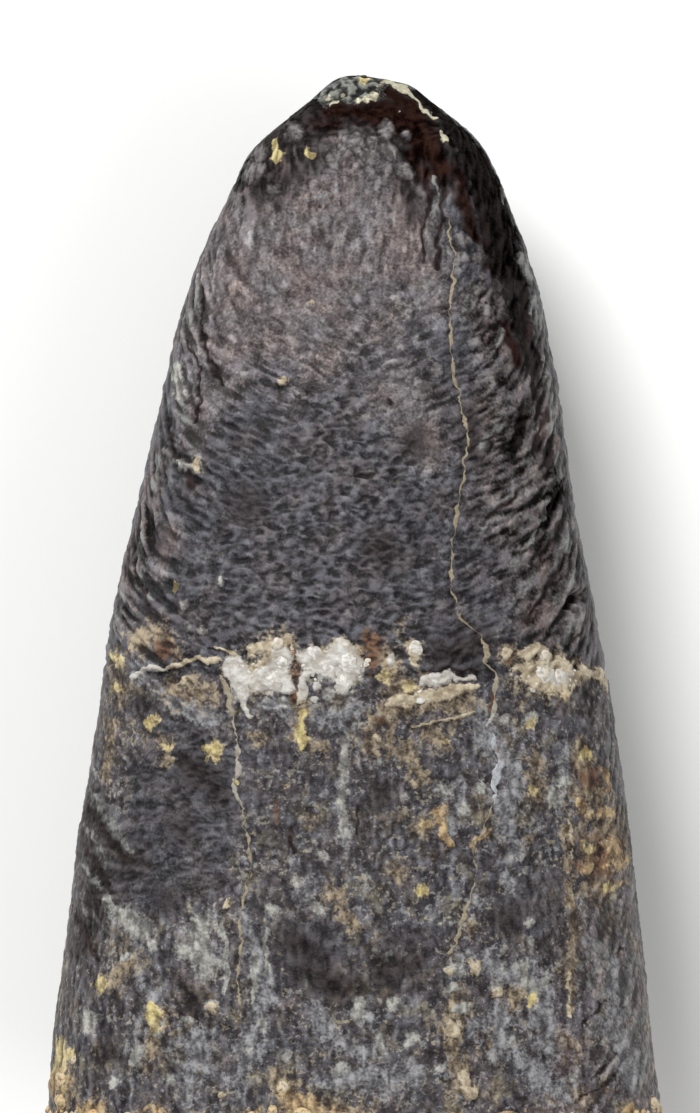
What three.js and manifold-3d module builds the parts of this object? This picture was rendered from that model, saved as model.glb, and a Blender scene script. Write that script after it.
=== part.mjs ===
// A fossil diplodocid tooth: the crown, broken off above the root, lying on its outer (cheek) side.
// Millimetres, +Z up. The tip points along +Y, the inner (tongue) face looks up, and the origin is on the
// surface it rests on, under the middle of the crown. The crown is one piece: the white mineral in its
// crosswise break and the sandy matrix caked on its broken end have grown on to it, so they are fused with it.
import * as THREE from "three";
import { mergeVertices } from "three/addons/utils/BufferGeometryUtils.js";
import Module from "manifold-3d";

// Driving dimensions
const crownLength = 22.4; // tip to the end of the matrix on the broken base
const wallLength = 20.9; // tip to the broken edge of the tooth itself
const upperRoundness = 2.45; // superellipse exponent of the flatter inner face; 2 is a plain ellipse
const lowerRoundness = 2.1; // the same for the full outer face
const restFlat = 0.13; // height of the worn flat spot above the lowest line of the unworn crown

// Stations down the crown: distance from the tip, left edge, right edge, then the heights of the
// underside, of the widest line and of the crest of the upper face.
const stations = [
  [0.0, 0.04, 0.04, 3.5, 3.5, 3.5],
  [0.06, -0.32, 0.54, 3.2, 3.5, 3.76],
  [0.18, -0.52, 1.1, 3.02, 3.5, 3.96],
  [0.5, -0.86, 1.54, 2.72, 3.5, 4.32],
  [0.9, -1.34, 2.02, 2.46, 3.5, 4.62],
  [1.5, -2.04, 2.6, 2.15, 3.5, 4.97],
  [2.5, -2.54, 3.08, 1.78, 3.5, 5.42],
  [4.1, -3.22, 3.64, 1.33, 3.55, 5.98],
  [6.5, -3.84, 4.08, 0.82, 3.65, 6.63],
  [9.3, -4.48, 4.54, 0.38, 3.8, 7.22],
  [11.7, -4.98, 4.98, 0.1, 4.0, 7.66],
  [14.1, -5.3, 5.32, 0.0, 4.2, 8.05],
  [17.7, -5.8, 5.78, 0.19, 4.5, 8.58],
  [20.9, -6.12, 6.14, 0.46, 4.8, 9.02],
];

// The flat wear facet on the tongue side of the tip: its height above the table where it crosses the
// line x = 0 at facetAt from the tip, how it climbs towards the base, and how it leans to the left.
const facetAt = 2.5;
const facetHeight = 5.0;
const facetClimb = 0.37;
const facetLean = 0.07;
const facetEdge = 0.1; // how softly the facet meets the face round it

// The chipped apex: nearer the tip than chipReach the upper face steps down by chipDepth
const chipReach = 0.55;
const chipDepth = 0.14;
const chipSlope = 0.2; // length of the step

// The crosswise break, healed with white mineral
const breakAt = 11.9; // mean distance from the tip
const breakSlant = 0.02; // how much further down it runs for each millimetre to the right
const breakWaves = [
  { height: 0.09, rate: 1.3 }, // rate in radians for each millimetre across
  { height: 0.04, rate: 4.1 },
];
const breakDepth = 0.16;
const breakWidth = 0.2;
const breakPull = 1.6; // rows of faces within this distance bend to follow the break

// Low oblique ridges on the flanks, where the wrinkled enamel is coarsest
const ridgeHeight = 0.022;
const ridgeSpacing = 1.3;
const ridgeRise = 4.5; // how far the ridges climb towards the tip from the middle to the sides
const ridgeDrift = 0.61; // rate of the second set of waves against that of the first
const ridgesBegin = 1.5; // distance from the tip where they start to rise
const ridgesFull = 5; // and where they have their full height

// The matrix that fills the broken end bulges behind the wall and narrows as it goes
const endBulge = [
  { behind: 0.25, share: 0.97 },
  { behind: 0.6, share: 0.84 },
  { behind: 0.85, share: 0.62 },
  { behind: 1.0, share: 0.34 },
];

// Faces of the crown's mesh
const facesRound = 54;
const rowsDown = 42;
const tipCrowding = 0.1; // smaller crowds more rows into the tip
const weldDistance = 1e-5;

const yOf = (distance) => crownLength / 2 - distance;

// A smooth curve through one column of the stations: cubic pieces over the square root of the distance
// from the tip, which keeps the tip round.
function along(distance, column) {
  const u = Math.sqrt(distance);
  const knots = stations.map((s) => Math.sqrt(s[0]));
  const value = (i) => stations[i][column];
  const last = stations.length - 1;
  const slope = (i) => {
    const a = Math.max(i - 1, 0);
    const b = Math.min(i + 1, last);
    return (value(b) - value(a)) / (knots[b] - knots[a]);
  };
  let i = 0;
  while (i < last - 1 && u > knots[i + 1]) i++;
  const span = knots[i + 1] - knots[i];
  const t = (u - knots[i]) / span;
  const blend = t * t * (3 - 2 * t);
  return (
    value(i) * (1 - blend) +
    value(i + 1) * blend +
    span * t * (1 - t) * (slope(i) * (1 - t) - slope(i + 1) * t)
  );
}

// The smaller of two heights, rounded over where they cross.
function softMin(a, b, softness) {
  const gap = Math.sqrt((a - b) ** 2 + softness ** 2);
  return (a + b - gap) / 2;
}

// The distance from the tip at which the break crosses a given x.
function breakLine(x) {
  let distance = breakAt + breakSlant * x;
  for (const { height, rate } of breakWaves) distance += height * Math.sin(rate * x);
  return distance;
}

// A point of the crown's outside: distance from the tip, and angle round it from the right edge over the
// top. grow moves it outwards, for what grows on the surface.
function crownPoint(distance, angle, grow = 0) {
  const left = along(distance, 1);
  const right = along(distance, 2);
  const c = Math.cos(angle);
  const s = Math.sin(angle);
  const power = 2 / (s >= 0 ? upperRoundness : lowerRoundness);
  const halfWidth = (right - left) / 2 + grow;
  const x = (right + left) / 2 + halfWidth * Math.sign(c) * Math.abs(c) ** power;
  const widest = along(distance, 4);
  const reach = (s >= 0 ? along(distance, 5) - widest : widest - along(distance, 3)) + grow;
  let z = widest + reach * Math.sign(s) * Math.abs(s) ** power;
  if (s > 0) {
    const facet = facetHeight + facetClimb * (distance - facetAt) + facetLean * x;
    z = softMin(z, Math.max(facet, widest), facetEdge);
    z -= chipDepth * THREE.MathUtils.smoothstep(chipReach - distance, 0, chipSlope) * s;
  }
  return new THREE.Vector3(x, yOf(distance), z);
}

// How far the flank ridges stand out: two sets of waves that drift in and out of step, whose crests climb
// to the tip at both sides, and which fade towards the middle of the face and the tip.
function ridges(distance, angle) {
  const side = Math.abs(Math.cos(angle));
  const phase = (2 * Math.PI * (distance + ridgeRise * side ** 2)) / ridgeSpacing;
  const wave = Math.sin(phase) + Math.sin(ridgeDrift * phase + 2 * angle);
  const fade = THREE.MathUtils.smoothstep(distance, ridgesBegin, ridgesFull);
  return ridgeHeight * wave * side ** 2 * fade;
}

// A closed mesh from rings of points between two end points: the rings run from the tip to the base, each
// anticlockwise seen from the base.
function closedRings(tip, rings, base) {
  const round = rings[0].length;
  const points = [tip, ...rings.flat(), base];
  const index = [];
  const at = (ring, i) => 1 + ring * round + (i % round);
  for (let i = 0; i < round; i++) index.push(0, at(0, i + 1), at(0, i));
  for (let ring = 0; ring < rings.length - 1; ring++)
    for (let i = 0; i < round; i++) {
      const [a, b] = [at(ring, i), at(ring, i + 1)];
      const [c, d] = [at(ring + 1, i), at(ring + 1, i + 1)];
      index.push(a, b, d, a, d, c);
    }
  const lastRing = rings.length - 1;
  for (let i = 0; i < round; i++)
    index.push(points.length - 1, at(lastRing, i), at(lastRing, i + 1));
  return new THREE.BufferGeometry().setFromPoints(points).setIndex(index);
}

// The crown without what has grown on it.
function crownBody() {
  const rings = [];
  const scale = Math.hypot(1, tipCrowding) - tipCrowding;
  for (let row = 1; row <= rowsDown; row++) {
    const distance = (wallLength * (Math.hypot(row / rowsDown, tipCrowding) - tipCrowding)) / scale;
    rings.push(ringAt(distance));
  }
  const middle = new THREE.Vector3(0, yOf(wallLength), along(wallLength, 4));
  for (const { behind, share } of endBulge) {
    const narrowed = ringAt(wallLength).map((point) =>
      point.sub(middle).multiplyScalar(share).add(middle).setY(yOf(wallLength + behind)),
    );
    rings.push(narrowed);
  }
  const end = middle.clone().setY(yOf(wallLength + endBulge.at(-1).behind));
  return closedRings(crownPoint(0, 0), rings, end);
}

// One ring of the crown's mesh. Near the break it bends to run along it, and where it lies in the break it
// is pressed in.
function ringAt(distance) {
  const points = [];
  for (let i = 0; i < facesRound; i++) {
    const angle = (2 * Math.PI * i) / facesRound;
    const x = crownPoint(distance, angle).x;
    const pull = Math.exp(-(((distance - breakAt) / breakPull) ** 2));
    const bent = Math.min(distance + (breakLine(x) - breakAt) * pull, wallLength);
    const inBreak = Math.exp(-(((distance - breakAt) / breakWidth) ** 2));
    points.push(crownPoint(bent, angle, ridges(bent, angle) - breakDepth * inBreak));
  }
  return points;
}

// A repeatable run of numbers from 0 to 1, by the minimal standard generator.
function seeded(seed) {
  let state = seed;
  return () => {
    state = (state * 48271) % 2147483647;
    return state / 2147483647;
  };
}

// A blunt crystal or pebble: a solid of 20 faces, or 80 where it is rounded, stretched by a chance between
// the two ends of lumpStretch along each of its axes, and then turned by chance.
const lumpStretch = [
  [0.8, 1.3],
  [0.8, 1.2],
  [0.75, 1.05],
];

function lump(centre, radius, chance, rounded = false) {
  const shape = new THREE.IcosahedronGeometry(radius, rounded ? 1 : 0);
  shape.scale(...lumpStretch.map(([least, most]) => THREE.MathUtils.lerp(least, most, chance())));
  shape.rotateX(Math.PI * chance());
  shape.rotateY(Math.PI * chance());
  shape.rotateZ(Math.PI * chance());
  return shape.translate(centre.x, centre.y, centre.z);
}

// The angle on the upper face at which the crown has a given x.
function angleAbove(distance, x) {
  const left = along(distance, 1);
  const right = along(distance, 2);
  const share = (x - (right + left) / 2) / ((right - left) / 2);
  const c = Math.sign(share) * Math.min(Math.abs(share), 1) ** (upperRoundness / 2);
  return Math.acos(THREE.MathUtils.clamp(c, -1, 1));
}

// The white mineral in the break: each stretch of lumps runs from one x to another, spread about the
// break line. mineralSunk is the share of its radius by which a lump's centre lies below the surface.
const mineralSunk = 0.35;
const mineralStretches = [
  { from: -4.7, to: -4.5, radius: 0.2, count: 2, spread: 0.15 },
  { from: -2.3, to: 0.15, radius: 0.29, count: 13, spread: 0.22 },
  { from: 0.5, to: 1.9, radius: 0.19, count: 7, spread: 0.12 },
  { from: 3.3, to: 4.2, radius: 0.32, count: 5, spread: 0.14 },
  { from: 4.75, to: 4.9, radius: 0.17, count: 2, spread: 0.05 },
];

function mineralLumps(chance) {
  const made = [];
  for (const { from, to, radius, count, spread } of mineralStretches)
    for (let i = 0; i < count; i++) {
      const x = from + ((to - from) * (i + 0.5)) / count;
      const distance = breakLine(x) + spread * (2 * chance() - 1);
      const centre = crownPoint(distance, angleAbove(distance, x), -mineralSunk * radius);
      made.push(lump(centre, radius * THREE.MathUtils.lerp(0.8, 1.2, chance()), chance));
    }
  return made;
}

// The matrix on the broken end: a row of pebbles round the rim, then ovals of them bedded in the bulge.
// A pebble strays by up to pebbleStray towards the tip, and round the crown by a share of its spacing.
const rimPebbles = { count: 28, least: 0.3, most: 0.48, sunk: 0.72, stray: 0.7 };
const endOvals = [
  { share: 0.85, count: 17, radius: 0.62, behind: 0.42 },
  { share: 0.6, count: 11, radius: 0.7, behind: 0.66 },
  { share: 0.27, count: 5, radius: 0.8, behind: 0.78 },
];
const pebbleStray = 0.25;
const ovalStray = 0.6;

function matrixPebbles(chance) {
  const made = [];
  const { count: rimCount, least, most, sunk, stray } = rimPebbles;
  for (let i = 0; i < rimCount; i++) {
    const angle = (2 * Math.PI * (i + stray * chance())) / rimCount;
    const radius = THREE.MathUtils.lerp(least, most, chance());
    const centre = crownPoint(wallLength - pebbleStray * chance(), angle, -sunk * radius);
    made.push(lump(centre, radius, chance));
  }
  const middle = along(wallLength, 4);
  for (const { share, count, radius, behind } of endOvals)
    for (let i = 0; i < count; i++) {
      const rim = crownPoint(wallLength, (2 * Math.PI * (i + ovalStray * chance())) / count);
      const centre = new THREE.Vector3(
        rim.x * share,
        yOf(wallLength + behind - pebbleStray * chance()),
        middle + (rim.z - middle) * share,
      );
      made.push(lump(centre, radius * THREE.MathUtils.lerp(0.85, 1.15, chance()), chance, true));
    }
  return made;
}

const wasm = await Module();
wasm.setup();

function solidOf(geometry) {
  const bare = geometry.clone();
  bare.deleteAttribute("normal");
  bare.deleteAttribute("uv");
  const merged = mergeVertices(bare, weldDistance);
  return new wasm.Manifold(
    new wasm.Mesh({
      numProp: 3,
      vertProperties: new Float32Array(merged.attributes.position.array),
      triVerts: new Uint32Array(merged.index.array),
    }),
  );
}

function geometryOf(solid) {
  const { numProp, vertProperties, triVerts } = solid.getMesh();
  const positions = new THREE.InterleavedBuffer(vertProperties, numProp);
  const indexed = new THREE.BufferGeometry()
    .setAttribute("position", new THREE.InterleavedBufferAttribute(positions, 3, 0))
    .setIndex([...triVerts]);
  const geometry = indexed.toNonIndexed();
  geometry.computeVertexNormals();
  return geometry;
}

// A solid box between two opposite corners, for trimming.
function block(low, high) {
  const size = new THREE.Vector3().subVectors(high, low);
  const centre = new THREE.Vector3().addVectors(high, low).multiplyScalar(0.5);
  return solidOf(
    new THREE.BoxGeometry(size.x, size.y, size.z).translate(centre.x, centre.y, centre.z),
  );
}

// A small dark pocket where a flake has left the right flank; proud is how far its centre stands off
const pocketAt = { distance: 10.45, x: 4.4, radius: 0.36, proud: 0.1 };
const chanceSeed = 29;

function tooth() {
  const chance = seeded(chanceSeed);
  let solid = solidOf(crownBody());
  for (const grown of [...mineralLumps(chance), ...matrixPebbles(chance)])
    solid = solid.add(solidOf(grown));

  const { distance, x, radius, proud } = pocketAt;
  const pocket = crownPoint(distance, angleAbove(distance, x), proud);
  solid = solid.subtract(solidOf(lump(pocket, radius, chance)));

  // Worn flat under its weight, and trimmed to its length behind the matrix.
  const reach = crownLength;
  const kept = block(
    new THREE.Vector3(-reach, -crownLength / 2, restFlat),
    new THREE.Vector3(reach, reach, reach),
  );
  return geometryOf(solid.intersect(kept)).translate(0, 0, -restFlat);
}

const enamel = new THREE.MeshStandardMaterial({
  color: new THREE.Color(0.27, 0.26, 0.28),
  roughness: 0.45,
  metalness: 0,
});

const fossil = new THREE.Group();
const crown = new THREE.Mesh(tooth(), enamel);
crown.name = "tooth";
fossil.add(crown);

export default fossil;
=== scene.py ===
import itertools

import bpy
import numpy as np
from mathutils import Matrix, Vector


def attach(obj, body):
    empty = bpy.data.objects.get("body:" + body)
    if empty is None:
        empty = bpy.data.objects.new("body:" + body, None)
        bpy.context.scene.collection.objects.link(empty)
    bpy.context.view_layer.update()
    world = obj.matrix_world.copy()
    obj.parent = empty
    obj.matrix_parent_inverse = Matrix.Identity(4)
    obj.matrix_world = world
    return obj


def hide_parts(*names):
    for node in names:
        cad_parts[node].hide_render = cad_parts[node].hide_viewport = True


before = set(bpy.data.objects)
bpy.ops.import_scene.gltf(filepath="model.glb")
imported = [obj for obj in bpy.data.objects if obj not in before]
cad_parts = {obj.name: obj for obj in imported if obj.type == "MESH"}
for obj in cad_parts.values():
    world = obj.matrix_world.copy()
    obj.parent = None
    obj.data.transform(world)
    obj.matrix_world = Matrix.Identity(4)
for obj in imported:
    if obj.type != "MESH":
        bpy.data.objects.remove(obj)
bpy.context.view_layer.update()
mm = 0.001
print("frame loaded")

# Chance: one lattice of random slopes, one of random spots, both repeated every so many cells
chance = {"seed": 1877, "cells": 64}
dice = np.random.default_rng(chance["seed"])
lattice = (chance["cells"],) * 3
slopes = dice.normal(size=lattice + (3,))
slopes /= np.linalg.norm(slopes, axis=-1, keepdims=True)
spots = dice.random(lattice + (3,))
tones = dice.random(lattice)


def smoothStep(value, low, high):
    t = np.clip((value - low) / (high - low), 0, 1)
    return t * t * (3 - 2 * t)


def waves(place, size):
    # Gradient noise, about -1 to 1: at each corner of a point's cell the offset dotted with the corner's
    # random slope, and the eight values blended by a quintic step
    q = place / size
    cell = np.floor(q).astype(int)
    part = q - cell
    fade = part**3 * (part * (part * 6 - 15) + 10)
    total = np.zeros(q.shape[:-1])
    for corner in itertools.product((0, 1), repeat=3):
        i, j, k = np.moveaxis((cell + corner) % chance["cells"], -1, 0)
        weight = np.prod(np.where(corner, fade, 1 - fade), axis=-1)
        total += weight * ((part - corner) * slopes[i, j, k]).sum(-1)
    return total * 1.6


def grains(place, size):
    # Cell noise: distances to the nearest and second nearest random spot, one spot to a cell, in cell
    # sizes, and the nearest spot's own random tone
    q = place / size
    cell = np.floor(q).astype(int)
    part = q - cell
    nearest = np.full(q.shape[:-1], 9.0)
    second = nearest.copy()
    tone = np.zeros(q.shape[:-1])
    for step in itertools.product((-1, 0, 1), repeat=3):
        i, j, k = np.moveaxis((cell + step) % chance["cells"], -1, 0)
        reach = np.sqrt(((spots[i, j, k] + step - part) ** 2).sum(-1))
        closer = reach < nearest
        second = np.where(closer, nearest, np.minimum(second, reach))
        tone = np.where(closer, tones[i, j, k], tone)
        nearest = np.where(closer, reach, nearest)
    return nearest, second, tone


# The crown's form. Each station is a distance from the tip, the left and right edges there, and the
# heights of the underside, the widest line and the crest of the upper face.
crown = {
    "length": 22.4,
    "wall": 20.9,  # tip to the broken edge of the tooth itself
    "upperRoundness": 2.45,  # superellipse exponents
    "lowerRoundness": 2.1,
    "restFlat": 0.13,  # worn off the lowest line by lying on it
    "endBulge": 1.0,  # how far the matrix bulges behind the broken edge
    "tipCrowding": 0.1,
    "stations": np.array([
        [0.0, 0.04, 0.04, 3.5, 3.5, 3.5],
        [0.06, -0.32, 0.54, 3.2, 3.5, 3.76],
        [0.18, -0.52, 1.1, 3.02, 3.5, 3.96],
        [0.5, -0.86, 1.54, 2.72, 3.5, 4.32],
        [0.9, -1.34, 2.02, 2.46, 3.5, 4.62],
        [1.5, -2.04, 2.6, 2.15, 3.5, 4.97],
        [2.5, -2.54, 3.08, 1.78, 3.5, 5.42],
        [4.1, -3.22, 3.64, 1.33, 3.55, 5.98],
        [6.5, -3.84, 4.08, 0.82, 3.65, 6.63],
        [9.3, -4.48, 4.54, 0.38, 3.8, 7.22],
        [11.7, -4.98, 4.98, 0.1, 4.0, 7.66],
        [14.1, -5.3, 5.32, 0.0, 4.2, 8.05],
        [17.7, -5.8, 5.78, 0.19, 4.5, 8.58],
        [20.9, -6.12, 6.14, 0.46, 4.8, 9.02],
    ]),
}
facet = {"at": 2.5, "height": 5.0, "climb": 0.37, "lean": 0.07, "edge": 0.1}
chip = {"reach": 0.55, "depth": 0.14}
fracture = {"at": 11.9, "slant": 0.02, "width": 0.06, "depth": 0.035, "step": 0.07}


def along(distance, column):
    # A cubic through one column of the stations, over the square root of the distance
    knots = np.sqrt(crown["stations"][:, 0])
    value = crown["stations"][:, column]
    slope = np.empty_like(value)
    slope[1:-1] = (value[2:] - value[:-2]) / (knots[2:] - knots[:-2])
    slope[0] = (value[1] - value[0]) / (knots[1] - knots[0])
    slope[-1] = (value[-1] - value[-2]) / (knots[-1] - knots[-2])
    u = np.sqrt(distance)
    i = np.clip(np.searchsorted(knots, u) - 1, 0, len(knots) - 2)
    span = knots[i + 1] - knots[i]
    t = (u - knots[i]) / span
    blend = t * t * (3 - 2 * t)
    bend = span * t * (1 - t) * (slope[i] * (1 - t) - slope[i + 1] * t)
    return value[i] * (1 - blend) + value[i + 1] * blend + bend


def signedPower(value, power):
    return np.sign(value) * np.abs(value) ** power


def bareCrown(distance, angle):
    # The crown with nothing on it: a superellipse at each distance from the tip, with the facet as the
    # lower of crest and sloping plane, rounded where they cross. Past the broken edge the last section
    # shrinks as the cube root of 1 minus the bulge squared.
    beyond = np.clip(distance - crown["wall"], 0, 1)
    distance = np.clip(distance, 0, crown["wall"])
    left, right, under, widest, crest = (along(distance, column) for column in range(1, 6))
    c, s = np.cos(angle), np.sin(angle)
    power = 2 / np.where(s >= 0, crown["upperRoundness"], crown["lowerRoundness"])
    x = (left + right) / 2 + (right - left) / 2 * signedPower(c, power)
    z = widest + np.where(s >= 0, crest - widest, widest - under) * signedPower(s, power)
    plane = facet["height"] + facet["climb"] * (distance - facet["at"]) + facet["lean"] * x
    plane = np.maximum(plane, widest)
    cut = (z + plane - np.sqrt((z - plane) ** 2 + facet["edge"] ** 2)) / 2
    cut -= chip["depth"] * smoothStep(chip["reach"] - distance, 0, 0.2) * s
    z = np.where(s > 0, cut, z)
    turn = beyond * np.pi / 2
    share = np.cos(turn) ** (2 / 3)
    y = crown["length"] / 2 - distance - crown["endBulge"] * np.sin(turn)
    return np.stack([x * share, y, widest + (z - widest) * share - crown["restFlat"]], -1)


def outward(distance, angle):
    # The bare crown's unit normal: the cross product of short steps round it and down it
    step = 0.002
    around = bareCrown(distance, angle + step) - bareCrown(distance, angle - step)
    low, high = np.maximum(distance - step, 0), distance + step
    down = bareCrown(high, angle) - bareCrown(low, angle)
    normal = np.cross(around, down)
    return normal / np.maximum(np.linalg.norm(normal, axis=-1, keepdims=True), 1e-12)


def angleAbove(distance, x):
    # The angle on the upper face at which the crown has a given x
    left, right = along(distance, 1), along(distance, 2)
    share = np.clip((x - (left + right) / 2) / ((right - left) / 2), -1, 1)
    return np.arccos(signedPower(share, crown["upperRoundness"] / 2))


# Lengths round a middle section, for spacing the columns and for measuring round the crown
roundTable = np.linspace(-np.pi / 2, 1.5 * np.pi, 20001)
section = bareCrown(np.full(roundTable.shape, 14.0), roundTable)
stretches = np.linalg.norm(np.diff(section, axis=0), axis=-1)
roundLength = np.concatenate([[0], np.cumsum(stretches)])
roundLength -= np.interp(np.pi / 2, roundTable, roundLength)
sideLength = -np.interp(0, roundTable, roundLength)


def roundShare(angle):
    # 0 along the crest, 1 at the right edge, -1 at the left edge, beyond that on the underside
    turned = np.mod(angle + np.pi / 2, 2 * np.pi) - np.pi / 2
    return -np.interp(turned, roundTable, roundLength) / sideLength


def breakLine(angle):
    x = bareCrown(np.full(np.shape(angle), fracture["at"]), angle)[..., 0]
    jag = 0.09 * np.sin(1.3 * x) + 0.04 * np.sin(4.1 * x) + 0.02 * np.sin(11 * x + 1)
    return fracture["at"] + fracture["slant"] * x + jag


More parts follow.
